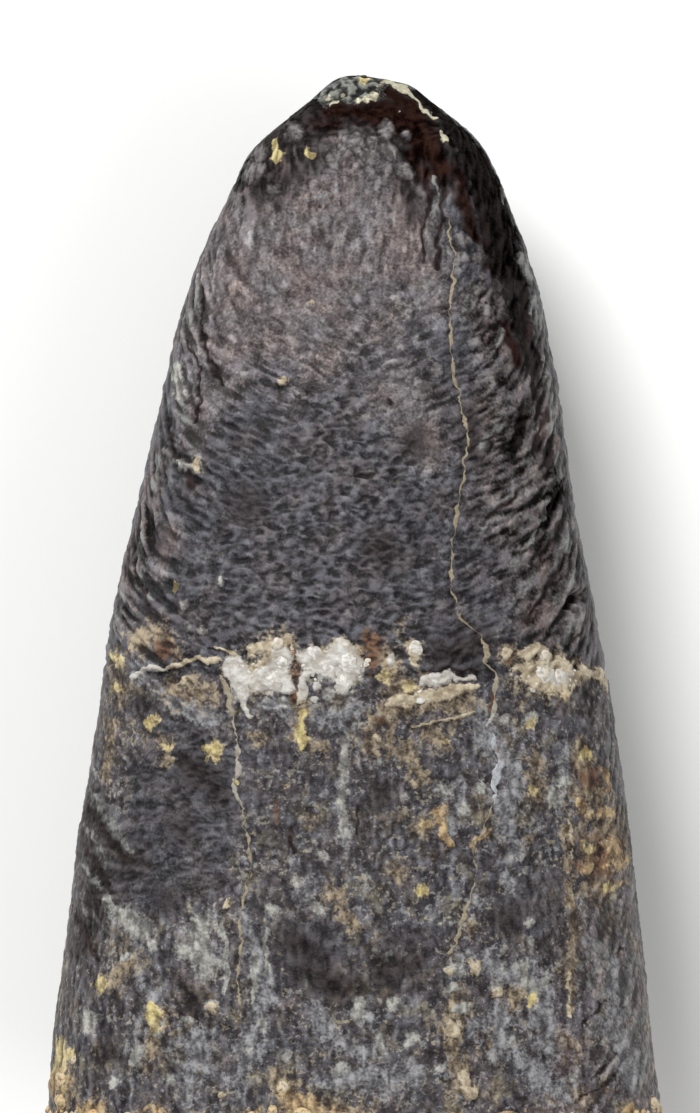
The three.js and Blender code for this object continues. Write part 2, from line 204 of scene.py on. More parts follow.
# Marks on the upper face: spots of (x, distance from the tip, radius), and lines of such spots
marks = {
    "flank": [  # dark brownish enamel at the sides
        [(-1.0, 1.1, 0.4), (-1.5, 1.5, 0.6), (-2.0, 2.0, 0.6), (-2.4, 2.7, 0.4)],
        [(2.9, 4.6, 0.7), (3.2, 6.5, 1.2), (3.5, 8.5, 1.4), (3.9, 10.5, 1.2), (4.2, 11.4, 0.8)],
        [(-3.9, 7.6, 0.3), (-4.3, 9.5, 0.4), (-4.7, 11.0, 0.3)], [(4.9, 13.2, 0.5), (5.1, 14.4, 0.3)],
        [(-5.3, 15.0, 0.6), (-5.5, 17.0, 0.6), (-5.6, 18.0, 0.4)],
    ],
    "fresh": [  # enamel below the break that kept its wrinkles
        [(-3.2, 13.6, 0.9), (-3.4, 14.6, 1.2), (-3.8, 15.6, 1.1)], (-0.8, 17.3, 0.6), (3.4, 16.6, 0.5),
    ],
    "worn": [
        [(-0.2, 1.6, 0.8), (-0.2, 2.7, 1.5), (-0.6, 3.9, 1.8), (-1.0, 4.9, 1.3)],
        [(-2.0, 3.0, 0.8), (-2.4, 4.6, 0.9), (-2.8, 6.2, 0.6), (-3.2, 7.3, 0.25)],
        [(0.8, 6.2, 0.5), (1.5, 7.6, 0.4)], [(-3.6, 9.0, 0.2), (-3.9, 10.0, 0.15)],
        [(1.0, 3.0, 0.7), (1.5, 4.5, 0.5)],
        # These two lines lighten the right margin: painted light for the light that falls on that side
        [(5.1, 16.4, 0.5), (5.2, 17.6, 1.0), (5.2, 18.8, 1.2), (5.3, 20.4, 1.3)],
        [(4.4, 19.2, 0.5), (4.4, 20.4, 0.6)],
    ],
    "apex": [
        [(-0.5, 0.75, 0.25), (-0.2, 0.75, 0.35), (0.3, 0.75, 0.5), (0.8, 0.8, 0.6),
         (1.2, 1.05, 0.55), (1.45, 1.5, 0.5), (1.75, 1.95, 0.4)],
        [(0.65, 0.35, 0.2), (0.95, 0.5, 0.25), (1.25, 0.8, 0.25)], [(-0.9, 1.0, 0.3), (-0.4, 1.0, 0.25)],
        [(1.46, 1.95, 0.15), (1.46, 2.3, 0.06)], [(1.8, 1.9, 0.2), (1.79, 2.4, 0.08)],
        [(2.1, 1.9, 0.25), (2.17, 2.6, 0.14), (2.3, 3.0, 0.12), (2.5, 3.3, 0.1)],
        [(2.5, 2.4, 0.25), (2.65, 3.2, 0.16), (2.8, 4.0, 0.12)], [(3.0, 5.0, 0.12), (3.25, 5.8, 0.12)],
        [(1.15, 1.6, 0.3), (1.3, 2.1, 0.15)],
    ],
    "pebble": [  # rounded light lumps near the tip
        [(0.62, 1.12, 0.17), (0.68, 1.2, 0.16)], (1.02, 1.23, 0.13), (0.73, 1.59, 0.2), (0.02, 1.4, 0.18),
        (-0.17, 1.6, 0.15), (0.3, 1.66, 0.17), (-0.42, 1.72, 0.15), (1.02, 1.92, 0.18), (0.4, 1.36, 0.13),
        (-1.18, 1.17, 0.22), (-2.0, 1.95, 0.25), (-1.85, 1.6, 0.17), (-1.6, 2.3, 0.15), (0.35, 2.0, 0.13),
        (2.2, 3.35, 0.18), (2.15, 3.65, 0.14), (2.45, 3.7, 0.12), [(-0.6, 2.4, 0.1), (-0.58, 2.6, 0.1)],
        (2.5, 4.3, 0.12), (2.62, 4.7, 0.12), (1.36, 6.3, 0.2), (1.6, 5.9, 0.14), (2.4, 5.4, 0.16),
    ],
    "pale": [  # clear pale grey-green grains
        (4.14, 14.1, 0.1), (3.94, 14.4, 0.18), (2.18, 14.6, 0.16), (2.48, 14.16, 0.14), (1.76, 14.22, 0.2),
        (3.38, 15.52, 0.1), (3.36, 15.82, 0.08), (3.44, 16.82, 0.09), (3.44, 17.24, 0.11),
        (2.88, 17.44, 0.1), (2.92, 17.72, 0.09), (-0.62, 15.52, 0.14),
        [(-3.82, 18.8, 0.1), (-3.84, 19.0, 0.1)], [(-4.26, 19.3, 0.16), (-4.28, 19.6, 0.14)],
        (-5.26, 18.82, 0.24), (-2.74, 18.46, 0.13), (-1.8, 18.86, 0.15), (-2.06, 19.3, 0.09),
        (-1.08, 16.04, 0.13), (-0.72, 16.52, 0.15), (-1.58, 16.58, 0.15),
        [(0.08, 18.4, 0.16), (0.1, 18.65, 0.15)], (0.8, 18.42, 0.15),
        [(0.52, 19.1, 0.12), (0.5, 19.3, 0.12)], (1.14, 19.08, 0.15), (2.76, 18.06, 0.15),
        (3.48, 12.88, 0.17), (2.98, 12.86, 0.16),
        [(-2.95, 16.9, 0.25), (-3.2, 17.3, 0.32), (-2.85, 17.7, 0.25)],
        # (1.55, 0.8) and (0.95, 0.75) on the line below are painted glints on the dark apex, not grains
        [(-4.6, 16.7, 0.2), (-4.2, 17.0, 0.28)], (-1.4, 12.55, 0.12), (1.55, 0.8, 0.03), (0.95, 0.75, 0.03),
        [(-4.96, 16.38, 0.08), (-4.4, 16.9, 0.1), (-3.92, 17.38, 0.1)], (-4.5, 17.5, 0.12),
        (-4.9, 17.2, 0.08), [(-2.6, 16.8, 0.05), (-2.5, 17.5, 0.06), (-2.52, 18.2, 0.04)],
        [(-2.0, 17.4, 0.06), (-1.95, 18.4, 0.05)], [(-1.7, 17.0, 0.05), (-1.72, 17.8, 0.06)],
        [(3.3, 17.7, 0.12), (3.5, 18.2, 0.14)], (3.8, 18.0, 0.12), (2.0, 17.75, 0.2), (1.92, 18.1, 0.14),
        (2.1, 18.5, 0.14), (3.1, 19.2, 0.12), (-3.3, 18.7, 0.12),
        [(-0.24, 13.3, 0.08), (-0.2, 14.2, 0.1), (-0.22, 15.1, 0.1)], (-1.3, 19.4, 0.12),
        (-0.3, 19.7, 0.14), (-4.7, 20.0, 0.13), (-3.6, 19.9, 0.11), (1.7, 19.7, 0.12), (4.3, 19.9, 0.1),
        (4.9, 19.2, 0.08), (3.0, 2.4, 0.06), [(-3.5, 5.9, 0.14), (-3.45, 6.4, 0.14)], (-3.42, 7.8, 0.15),
        (-2.6, 10.1, 0.1), (-3.4, 10.6, 0.12), (-3.0, 11.1, 0.1), (-2.3, 12.45, 0.14), (-0.5, 12.35, 0.14),
    ],
    "black": [
        [(1.25, 0.3, 0.08), (1.5, 0.6, 0.13), (1.8, 0.9, 0.25), (2.2, 1.35, 0.35), (2.6, 2.0, 0.5),
         (2.95, 3.1, 0.5), (3.2, 4.3, 0.4), (3.35, 5.2, 0.3), (3.6, 5.8, 0.2)],
        [(-2.15, 1.9, 0.2), (-1.75, 1.35, 0.25), (-1.35, 0.95, 0.3),
         (-0.9, 0.7, 0.25), (-0.65, 0.5, 0.12)],
        (-2.35, 2.2, 0.15), (-0.95, 1.25, 0.15), (-1.7, 1.85, 0.12), (-1.25, 1.75, 0.1),
        [(3.35, 6.9, 0.1), (3.15, 7.6, 0.12)],
        [(3.9, 7.6, 0.12), (4.1, 8.3, 0.14), (3.8, 8.9, 0.14), (3.4, 9.4, 0.1)],
    ],
    # Pale raised stripes: partly pale ridges of the enamel, partly painted highlight streaks along the right
    # and left margins
    "paleStripeAndGlint": [
        [(2.9, 2.27, 0.05), (2.97, 2.52, 0.05)], [(3.32, 3.7, 0.12), (3.52, 4.1, 0.12)],
        [(3.57, 4.5, 0.12), (3.66, 5.15, 0.12)], [(3.77, 5.65, 0.09), (3.83, 6.2, 0.09)],
        [(3.97, 6.37, 0.1), (3.93, 6.8, 0.14), (3.88, 7.2, 0.1)],
        [(4.22, 7.5, 0.1), (4.1, 7.9, 0.14), (3.94, 8.25, 0.1)], [(4.27, 8.5, 0.06), (3.97, 9.18, 0.07)],
        [(4.32, 9.05, 0.1), (4.2, 9.4, 0.15), (4.0, 9.8, 0.1)],
        [(4.45, 9.9, 0.1), (4.2, 10.2, 0.12), (3.95, 10.55, 0.08)],
        [(2.96, 6.76, 0.07), (2.8, 7.1, 0.1), (2.56, 7.49, 0.07)], [(3.54, 6.3, 0.07), (3.46, 6.76, 0.06)],
        [(3.57, 7.6, 0.08), (3.4, 7.83, 0.07)], [(3.24, 8.28, 0.05), (2.56, 8.84, 0.05)],
        [(2.36, 4.2, 0.1), (2.25, 4.9, 0.1)], [(2.9, 5.1, 0.09), (2.85, 5.4, 0.06)],
        [(1.61, 2.05, 0.04), (1.65, 2.6, 0.06), (1.58, 3.0, 0.06), (1.5, 3.4, 0.05), (1.46, 4.3, 0.05)],
        [(-3.1, 4.1, 0.05), (-3.25, 4.9, 0.08), (-3.35, 5.4, 0.08)],
        [(-3.35, 5.7, 0.06), (-3.45, 6.3, 0.12), (-3.35, 6.8, 0.08), (-3.2, 7.4, 0.08), (-2.9, 8.0, 0.05)],
        [(-3.8, 7.5, 0.06), (-3.95, 8.3, 0.08)],
        [(-4.2, 9.2, 0.07), (-4.25, 9.9, 0.08), (-4.0, 10.5, 0.05)],
        [(-4.55, 10.2, 0.05), (-4.7, 11.0, 0.07)], (-3.27, 11.05, 0.1),
        [(-5.28, 14.2, 0.05), (-5.05, 14.56, 0.1), (-4.75, 14.95, 0.1), (-4.45, 15.4, 0.08)],
        [(-5.28, 15.02, 0.08), (-4.88, 15.62, 0.08)], [(-5.38, 15.76, 0.08), (-4.98, 16.28, 0.08)],
        [(-5.4, 16.5, 0.08), (-4.92, 17.04, 0.1)], [(5.2, 17.3, 0.08), (4.5, 18.1, 0.1)],
        [(5.5, 18.1, 0.08), (4.7, 19.0, 0.1)], [(5.5, 19.1, 0.1), (4.9, 19.8, 0.08)],
        [(5.7, 19.9, 0.1), (5.1, 20.5, 0.1)], [(5.3, 16.2, 0.06), (4.9, 16.8, 0.08)],
        [(5.6, 17.6, 0.12), (4.9, 18.5, 0.12)], [(5.75, 18.7, 0.12), (5.0, 19.5, 0.12)],
        [(5.85, 19.4, 0.12), (5.4, 20.1, 0.12)], [(4.9, 17.2, 0.1), (4.4, 17.8, 0.1)],
        [(3.9, 8.5, 0.06), (3.5, 9.3, 0.07), (3.1, 9.9, 0.05)], [(3.6, 9.9, 0.06), (3.2, 10.5, 0.07)],
        [(2.9, 8.4, 0.05), (2.5, 9.2, 0.06)], [(4.5, 10.8, 0.07), (4.2, 11.3, 0.07)],
        [(3.1, 10.9, 0.05), (2.8, 11.2, 0.05)],
    ],
    "darkStripe": [
        [(-3.05, 4.5, 0.04), (-3.1, 5.0, 0.05), (-2.85, 5.7, 0.07), (-2.65, 6.2, 0.06)],
        [(-3.35, 5.3, 0.04), (-3.1, 5.9, 0.05), (-3.05, 6.5, 0.04), (-3.2, 7.0, 0.04)],
        [(-3.7, 6.9, 0.07), (-3.55, 7.7, 0.06), (-3.2, 8.2, 0.09)], [(-4.4, 9.5, 0.05), (-4.1, 10.6, 0.06)],
        [(-5.26, 14.62, 0.08), (-4.58, 15.58, 0.12)], [(-5.28, 15.42, 0.06), (-4.88, 16.12, 0.08)],
        [(-5.54, 16.74, 0.08), (-5.08, 17.58, 0.1)], [(4.7, 19.9, 0.05), (5.36, 19.3, 0.07)],
        [(0.64, 6.55, 0.07), (0.72, 6.65, 0.06)],
        [(1.46, 2.2, 0.08), (1.46, 2.9, 0.06), (1.36, 3.2, 0.06), (1.35, 3.8, 0.05)],
        [(1.79, 2.3, 0.08), (1.74, 2.9, 0.06), (1.72, 3.3, 0.06), (1.67, 3.9, 0.05)],
        [(3.3, 4.2, 0.1), (3.45, 5.5, 0.12), (3.75, 6.8, 0.08)], [(3.6, 7.6, 0.07), (3.85, 6.7, 0.05)],
        [(3.75, 9.7, 0.07), (4.15, 8.9, 0.1), (4.3, 8.3, 0.06)], [(3.8, 8.1, 0.06), (4.0, 7.4, 0.07)],
        [(3.4, 10.9, 0.06), (3.9, 10.2, 0.09), (4.2, 9.6, 0.07)], [(4.0, 10.9, 0.05), (4.3, 10.5, 0.07)],
        [(2.6, 8.9, 0.05), (3.3, 8.4, 0.05)], [(4.4, 11.3, 0.06), (4.6, 10.9, 0.06)],
        [(4.5, 18.9, 0.04), (5.2, 18.1, 0.07)], [(4.5, 20.3, 0.04), (5.3, 19.8, 0.07)],
        [(4.9, 17.9, 0.05), (5.3, 17.4, 0.06)], (4.6, 12.34, 0.17), (4.3, 11.68, 0.1),
        [(4.6, 12.8, 0.07), (4.75, 12.4, 0.07)], (3.76, 12.4, 0.1), (4.23, 11.7, 0.1),
        [(-1.2, 14.9, 0.05), (-1.2, 15.5, 0.05)], [(0.1, 14.5, 0.05), (0.08, 15.2, 0.05)],
        [(1.3, 11.9, 0.03), (2.5, 11.86, 0.04)], [(-2.85, 11.45, 0.03), (-2.3, 11.5, 0.03)],
    ],
    "hollow": [  # soft dark reddish places
        [(-0.9, 17.7, 0.5), (-0.25, 18.1, 0.6)], (-4.17, 12.45, 0.35),
        [(-1.3, 17.2, 0.5), (-0.9, 17.35, 0.4)], [(-3.2, 13.8, 0.5), (-2.7, 14.2, 0.4)], (-3.4, 15.0, 0.4),
        [(0.5, 17.8, 0.5), (1.2, 17.6, 0.4)], (-4.7, 19.4, 0.4), [(-3.3, 18.1, 0.3), (-3.05, 18.8, 0.35)],
        (-3.7, 16.4, 0.3), (-1.5, 15.2, 0.4), [(2.4, 11.4, 0.5), (1.7, 11.6, 0.4)], (0.5, 14.3, 0.4),
        (3.0, 16.8, 0.4), (-2.1, 8.6, 0.5), (0.5, 9.5, 0.5), (-3.9, 9.4, 0.3), (-4.4, 15.6, 0.4),
        (1.2, 7.4, 0.4), [(-1.9, 2.3, 0.5), (-1.3, 1.95, 0.45), (-0.7, 1.7, 0.3)],
        [(0.95, 2.1, 0.35), (1.2, 2.8, 0.25)], [(2.3, 6.9, 0.3), (2.4, 7.6, 0.3)],
        [(-0.9, 1.25, 0.5), (-1.5, 1.5, 0.5)], [(-5.35, 14.6, 0.5), (-5.1, 16.2, 0.4), (-5.4, 17.4, 0.4)],
    ],
    "chipped": [
        [(-0.6, 0.42, 0.16), (-0.1, 0.25, 0.3), (0.32, 0.24, 0.3)],
    ],
    "rim": [
        [(0.5, 0.14, 0.03), (0.77, 0.2, 0.07), (0.96, 0.26, 0.09), (1.12, 0.38, 0.08),
         (1.23, 0.52, 0.045), (1.39, 0.7, 0.03), (1.54, 0.89, 0.035), (1.6, 0.96, 0.02)],
        [(1.69, 1.19, 0.05), (1.8, 1.36, 0.08)], [(0.1, 0.5, 0.05), (0.28, 0.48, 0.08), (0.43, 0.37, 0.1)],
        [(-0.45, 0.57, 0.05), (-0.3, 0.55, 0.04)], (-0.2, 0.38, 0.06), (0.42, 0.17, 0.03),
        (-0.5, 0.4, 0.04),
    ],
    "yellow": [
        [(0.14, 0.11, 0.09), (0.2, 0.12, 0.09)],
        [(-1.56, 1.4, 0.1), (-1.48, 1.52, 0.1), (-1.56, 1.7, 0.06)],
        [(-0.98, 1.53, 0.07), (-0.86, 1.6, 0.08)], (-4.1, 12.9, 0.1), (-2.8, 13.44, 0.12),
        [(-1.0, 12.75, 0.06), (-1.03, 13.0, 0.08), (-0.98, 13.2, 0.1), (-1.02, 13.4, 0.06)],
        (1.28, 16.22, 0.13), [(-3.98, 18.45, 0.07), (-3.95, 18.7, 0.09)], (3.5, 18.33, 0.1),
        (4.56, 13.55, 0.09), (-2.27, 14.05, 0.06), (5.0, 16.2, 0.08),
    ],
    "stain": [  # tan and cream grains round the break and in the lower half
        [(-4.3, 11.3, 0.4), (-3.9, 11.1, 0.35), (-3.5, 11.5, 0.25)],
        [(-4.75, 11.7, 0.25), (-4.7, 12.5, 0.25)], [(-3.6, 12.2, 0.45), (-2.9, 12.4, 0.4)],
        [(-1.9, 11.45, 0.25), (-1.45, 11.3, 0.35), (-1.3, 11.5, 0.25)],
        [(0.1, 11.5, 0.3), (0.5, 11.5, 0.35), (0.8, 12.1, 0.4), (1.2, 12.2, 0.3)], (1.15, 11.5, 0.25),
        [(2.9, 11.55, 0.2), (3.3, 11.6, 0.3), (3.8, 11.7, 0.35), (4.5, 11.95, 0.25), (4.9, 12.0, 0.2)],
        [(0.6, 12.7, 0.3), (1.4, 12.5, 0.4), (2.2, 12.5, 0.35)], [(-1.05, 12.6, 0.25), (-1.0, 13.4, 0.25)],
        [(0.3, 12.7, 0.2), (0.35, 13.5, 0.2)], [(1.3, 13.0, 0.3), (1.8, 13.3, 0.3)],
        [(4.4, 13.3, 0.2), (4.6, 14.2, 0.5), (5.0, 15.2, 0.55), (4.9, 16.2, 0.45)],
        [(-4.8, 13.0, 0.25), (-4.95, 14.0, 0.15)], (1.4, 14.9, 0.4), [(-0.4, 16.3, 0.3), (0.0, 16.9, 0.2)],
        [(2.0, 18.2, 0.35), (1.9, 19.0, 0.35), (2.2, 20.1, 0.35)], (3.2, 18.3, 0.35),
        [(-4.4, 17.6, 0.35), (-4.8, 18.1, 0.35)], [(-3.8, 18.8, 0.35), (-4.2, 19.6, 0.3)],
        [(-1.5, 19.9, 0.4), (-1.0, 20.4, 0.5), (0.2, 20.6, 0.35)], [(-5.8, 19.5, 0.35), (-5.7, 20.4, 0.4)],
        [(4.2, 15.0, 0.15), (4.3, 16.8, 0.1), (4.3, 18.5, 0.12)], [(3.5, 13.6, 0.3), (3.6, 14.4, 0.25)],
        (-2.8, 13.4, 0.25), (-3.8, 13.3, 0.25), (5.3, 20.5, 0.2), (-0.6, 13.4, 0.2),
        [(0.44, 12.8, 0.12), (0.48, 13.5, 0.12)], [(0.68, 12.8, 0.1), (0.7, 13.5, 0.1)],
        (-3.76, 13.64, 0.2), [(1.0, 13.4, 0.3), (1.3, 14.0, 0.3)], (3.4, 15.2, 0.25), (-0.9, 14.8, 0.25),
        (0.9, 15.8, 0.3), (2.6, 19.2, 0.3), (3.3, 12.6, 0.25), (-1.9, 13.2, 0.25), (2.3, 16.9, 0.2),
        (1.0, 11.0, 0.25),
    ],
    "bloomAndLit": [
        [(-4.8, 16.7, 0.2), (-4.2, 16.9, 0.25), (-4.4, 17.6, 0.2), (-3.9, 18.3, 0.15), (-4.4, 19.3, 0.25)],
        [(-3.35, 17.0, 0.16), (-3.05, 16.85, 0.26), (-2.95, 17.25, 0.36), (-2.9, 17.7, 0.3)],
        [(-2.2, 16.6, 0.2), (-2.0, 17.3, 0.25), (-1.7, 18.0, 0.25), (-1.9, 18.9, 0.3), (-2.3, 19.8, 0.35)],
        [(-0.2, 13.3, 0.14), (-0.22, 14.2, 0.2), (-0.2, 15.2, 0.2)],
        [(-0.7, 16.0, 0.3), (-1.1, 16.4, 0.25)], [(0.44, 13.15, 0.1), (0.5, 13.7, 0.12)],
        [(2.98, 12.9, 0.15), (3.1, 13.1, 0.12)], (3.48, 12.9, 0.25),
        [(4.1, 13.4, 0.22), (4.15, 14.0, 0.22)], (3.94, 14.4, 0.25), (3.3, 13.4, 0.25), (3.5, 15.0, 0.3),
        (3.0, 16.0, 0.25), (2.7, 13.1, 0.25), (4.6, 17.2, 0.2),
        # This line lightens the right margin: painted light on that side
        [(5.1, 17.8, 0.4), (5.2, 18.9, 0.4), (5.5, 19.9, 0.45)],
        [(3.4, 14.0, 0.3), (2.9, 14.5, 0.35), (3.2, 15.4, 0.35)], [(4.24, 14.8, 0.05), (4.3, 15.7, 0.05)],
        [(2.1, 14.1, 0.2), (1.9, 15.0, 0.25)],
        [(2.0, 17.5, 0.2), (2.5, 17.6, 0.3), (3.0, 17.8, 0.42),
         (3.5, 18.0, 0.5), (3.7, 18.6, 0.5), (3.9, 19.3, 0.4)],
        [(0.08, 18.5, 0.2), (0.3, 18.8, 0.2)], [(-0.8, 18.5, 0.25), (-0.5, 19.1, 0.25), (0.3, 19.4, 0.3)],
        [(2.3, 18.9, 0.25), (3.0, 18.6, 0.3), (2.7, 19.5, 0.3)], [(1.9, 17.8, 0.16), (1.8, 18.2, 0.1)],
        [(-0.4, 19.9, 0.4), (1.2, 19.8, 0.3)], (0.6, 19.1, 0.2), [(-3.0, 19.2, 0.4), (-3.3, 20.2, 0.3)],
        (4.9, 14.9, 0.15), [(3.3, 19.5, 0.35), (4.1, 20.2, 0.3)], (-3.38, 7.74, 0.1), (-3.14, 7.8, 0.1),
        [(-4.2, 11.9, 0.3), (-3.8, 12.3, 0.3), (-2.9, 12.8, 0.4)], (-3.3, 6.15, 0.12),
        [(-0.3, 2.3, 0.06), (-0.9, 2.5, 0.06)], (3.4, 17.2, 0.1), (2.84, 17.4, 0.09),
        [(-1.6, 12.6, 0.3), (-0.6, 12.9, 0.3), (0.2, 12.6, 0.3)], [(2.4, 12.9, 0.3), (3.2, 13.9, 0.3)],
    ],
    "rust": [
        (-3.78, 11.46, 0.22), [(0.38, 11.3, 0.25), (0.3, 11.74, 0.18)], (3.1, 11.56, 0.14),
        (4.6, 14.0, 0.25), [(-1.56, 14.5, 0.03), (-1.55, 15.2, 0.03)], (0.5, 12.9, 0.12), (4.9, 15.6, 0.5),
        (-1.3, 11.35, 0.12), [(2.72, 12.3, 0.05), (2.72, 12.6, 0.05)],
        [(-1.17, 11.6, 0.15), (-1.15, 12.4, 0.12)],
    ],
    "olive": [
        (-4.32, 8.44, 0.09), [(-4.06, 12.9, 0.14), (-3.9, 12.85, 0.07)], (-2.78, 13.46, 0.2),
        (0.58, 11.99, 0.17), (1.1, 12.15, 0.14), (-4.74, 11.66, 0.17), (-4.72, 12.25, 0.13),
        (1.3, 16.2, 0.17), (4.57, 13.57, 0.12), (4.64, 15.45, 0.18), (5.1, 16.2, 0.12),
        [(-3.96, 18.6, 0.14), (-3.85, 18.9, 0.11)], (-4.98, 18.08, 0.17), (-1.37, 20.02, 0.13),
        (3.5, 18.34, 0.14), (-5.6, 19.5, 0.12), (1.38, 14.9, 0.12), (-3.72, 13.4, 0.12),
        [(-5.85, 19.3, 0.14), (-5.85, 20.1, 0.24)], (3.5, 12.95, 0.12), (3.48, 14.22, 0.12),
        (-3.53, 10.2, 0.08), (-2.29, 14.0, 0.05), (1.9, 13.3, 0.1),
    ],
    "ochre": [
        (4.05, 12.43, 0.12), (4.44, 14.52, 0.18), [(4.9, 13.9, 0.1), (4.92, 14.2, 0.12)],
        [(4.7, 14.75, 0.15), (5.0, 14.75, 0.14)], [(5.1, 15.4, 0.2), (5.2, 15.7, 0.25)],
        [(4.7, 15.6, 0.15), (4.6, 15.9, 0.1)], (5.3, 16.1, 0.08),
        [(1.72, 14.7, 0.18), (1.76, 15.0, 0.12), (1.82, 15.3, 0.12)], (1.42, 14.95, 0.12),
        [(3.5, 12.2, 0.12), (4.1, 12.32, 0.16)], (-1.3, 11.32, 0.08),
        [(2.62, 15.0, 0.08), (2.36, 15.3, 0.09)], (-5.2, 20.7, 0.4), (-3.93, 20.7, 0.35),
        (-2.0, 20.72, 0.32), [(-1.2, 20.3, 0.3), (-0.9, 20.6, 0.4)], (-0.4, 20.75, 0.35), (-5.9, 20.1, 0.3),
        (0.6, 20.8, 0.2), (-3.0, 20.8, 0.25),
    ],
    "cream": [
        [(-1.95, 11.5, 0.1), (-1.6, 11.35, 0.14), (-1.38, 11.3, 0.14)],
        [(-0.21, 11.42, 0.2), (0.05, 11.6, 0.14)],
        [(-3.68, 11.8, 0.04), (-3.27, 11.68, 0.05), (-3.02, 11.62, 0.05), (-2.7, 11.66, 0.05)],
        [(-2.7, 11.4, 0.03), (-2.3, 11.5, 0.04)], [(1.17, 11.41, 0.15), (1.19, 11.74, 0.1)],
        [(0.66, 12.52, 0.07), (1.06, 12.48, 0.12), (1.43, 12.39, 0.15),
         (1.88, 12.31, 0.13), (2.37, 12.19, 0.08)],
        [(1.15, 12.96, 0.03), (1.84, 12.84, 0.04), (2.37, 12.72, 0.03)],
        [(3.25, 11.85, 0.08), (3.5, 11.98, 0.3), (3.9, 12.05, 0.4), (4.25, 12.0, 0.28)],
        [(3.3, 11.56, 0.1), (3.64, 11.48, 0.13), (3.8, 11.62, 0.1)], (2.98, 11.54, 0.09),
        [(-2.3, 11.85, 0.3), (-1.9, 12.05, 0.34), (-1.5, 11.85, 0.34)],
        [(-0.8, 11.7, 0.3), (-0.2, 11.75, 0.36)], (-3.14, 7.8, 0.14), (-1.4, 6.14, 0.1), (-0.88, 4.6, 0.06),
        [(4.2, 14.76, 0.03), (4.3, 15.62, 0.03)], [(4.22, 17.86, 0.05), (4.24, 18.68, 0.04)],
        (2.36, 17.7, 0.16), [(4.5, 11.95, 0.08), (4.94, 12.0, 0.11), (4.95, 12.25, 0.1)],
        (1.94, 18.93, 0.18), [(2.18, 19.85, 0.12), (2.36, 20.2, 0.1)], (2.82, 18.2, 0.14),
        (-2.53, 16.45, 0.08), (-2.73, 18.5, 0.1), (-2.57, 20.2, 0.08), (-3.43, 12.1, 0.08),
        (1.9, 17.75, 0.1), (2.4, 17.65, 0.1), [(-1.0, 12.0, 0.06), (-1.03, 12.5, 0.05)],
        [(0.42, 13.15, 0.06), (0.5, 13.2, 0.06)],
    ],
    "white": [
        [(-2.35, 11.78, 0.24), (-2.25, 12.0, 0.2), (-2.2, 12.35, 0.1), (-2.1, 12.75, 0.06)],
        [(-1.85, 12.12, 0.24), (-1.55, 12.0, 0.26), (-1.4, 11.7, 0.22)], (-1.27, 12.25, 0.12),
        [(-0.86, 11.66, 0.22), (-0.57, 11.82, 0.26), (-0.2, 11.5, 0.2),
         (-0.08, 11.86, 0.25), (-0.25, 12.23, 0.14)],
        [(-0.98, 11.9, 0.08), (-1.0, 12.4, 0.06)], (-0.76, 12.46, 0.07), (-0.7, 12.2, 0.08),
        (0.76, 11.68, 0.09), [(1.4, 12.1, 0.09), (1.6, 12.05, 0.12), (1.8, 12.02, 0.1)],
        [(1.95, 12.02, 0.06), (2.37, 11.98, 0.06)], [(3.8, 12.0, 0.14), (4.02, 12.04, 0.13)],
        [(-4.37, 12.0, 0.04), (-4.12, 11.87, 0.05), (-3.7, 11.82, 0.04)],
    ],
    "pit": [
        [(4.3, 10.62, 0.1), (4.45, 10.42, 0.12)],
    ],
}

# Long cracks filled with pale mineral, as (x, distance from the tip, half width)
veins = {
    "right": [
        (1.86, 2.9, 0.015), (1.9, 3.2, 0.02), (2.0, 3.7, 0.025), (1.95, 4.2, 0.03), (1.86, 4.6, 0.035),
        (1.93, 5.2, 0.03), (1.96, 5.9, 0.03), (2.1, 6.5, 0.03), (2.24, 7.3, 0.04), (2.16, 8.3, 0.025),
        (2.02, 8.9, 0.035), (1.94, 9.7, 0.035), (1.88, 10.11, 0.035), (1.99, 10.43, 0.035),
        (2.17, 10.68, 0.035), (2.13, 10.84, 0.035), (2.33, 11.01, 0.035), (2.5, 11.13, 0.04),
        (2.6, 11.4, 0.04), (2.66, 11.74, 0.05), (2.8, 11.99, 0.035), (2.76, 12.23, 0.04),
        (2.75, 12.7, 0.04), (2.6, 12.97, 0.04), (2.78, 13.21, 0.04), (2.86, 13.46, 0.06),
        (2.92, 13.66, 0.085), (2.86, 13.99, 0.07), (2.76, 14.19, 0.045), (2.78, 14.5, 0.03),
        (2.68, 14.76, 0.03), (2.58, 15.0, 0.05), (2.38, 15.26, 0.05), (2.36, 15.56, 0.03),
        (2.41, 15.95, 0.035), (2.32, 16.28, 0.03), (2.22, 16.45, 0.04), (2.12, 16.88, 0.04),
        (1.95, 17.3, 0.03), (1.85, 17.5, 0.045),
    ],
    "left": [
        (-2.66, 11.95, 0.04), (-2.57, 12.11, 0.045), (-2.45, 12.39, 0.05), (-2.41, 12.64, 0.04),
        (-2.41, 12.92, 0.025), (-2.33, 13.17, 0.035), (-2.31, 13.54, 0.06), (-2.29, 13.78, 0.05),
        (-2.3, 14.08, 0.07), (-2.32, 14.3, 0.03), (-2.23, 14.62, 0.022), (-2.07, 15.16, 0.025),
        (-2.05, 15.88, 0.03), (-2.15, 16.22, 0.035), (-2.2, 16.62, 0.025), (-2.25, 16.88, 0.025),
        (-2.22, 17.28, 0.05), (-2.3, 17.94, 0.03), (-2.23, 18.48, 0.025),
    ],
    "jitter": 0.02,  # sideways wander of a vein
    "step": 0.04,  # spacing of its sections
    "lift": 0.008,  # how far its crown stands over the enamel
}


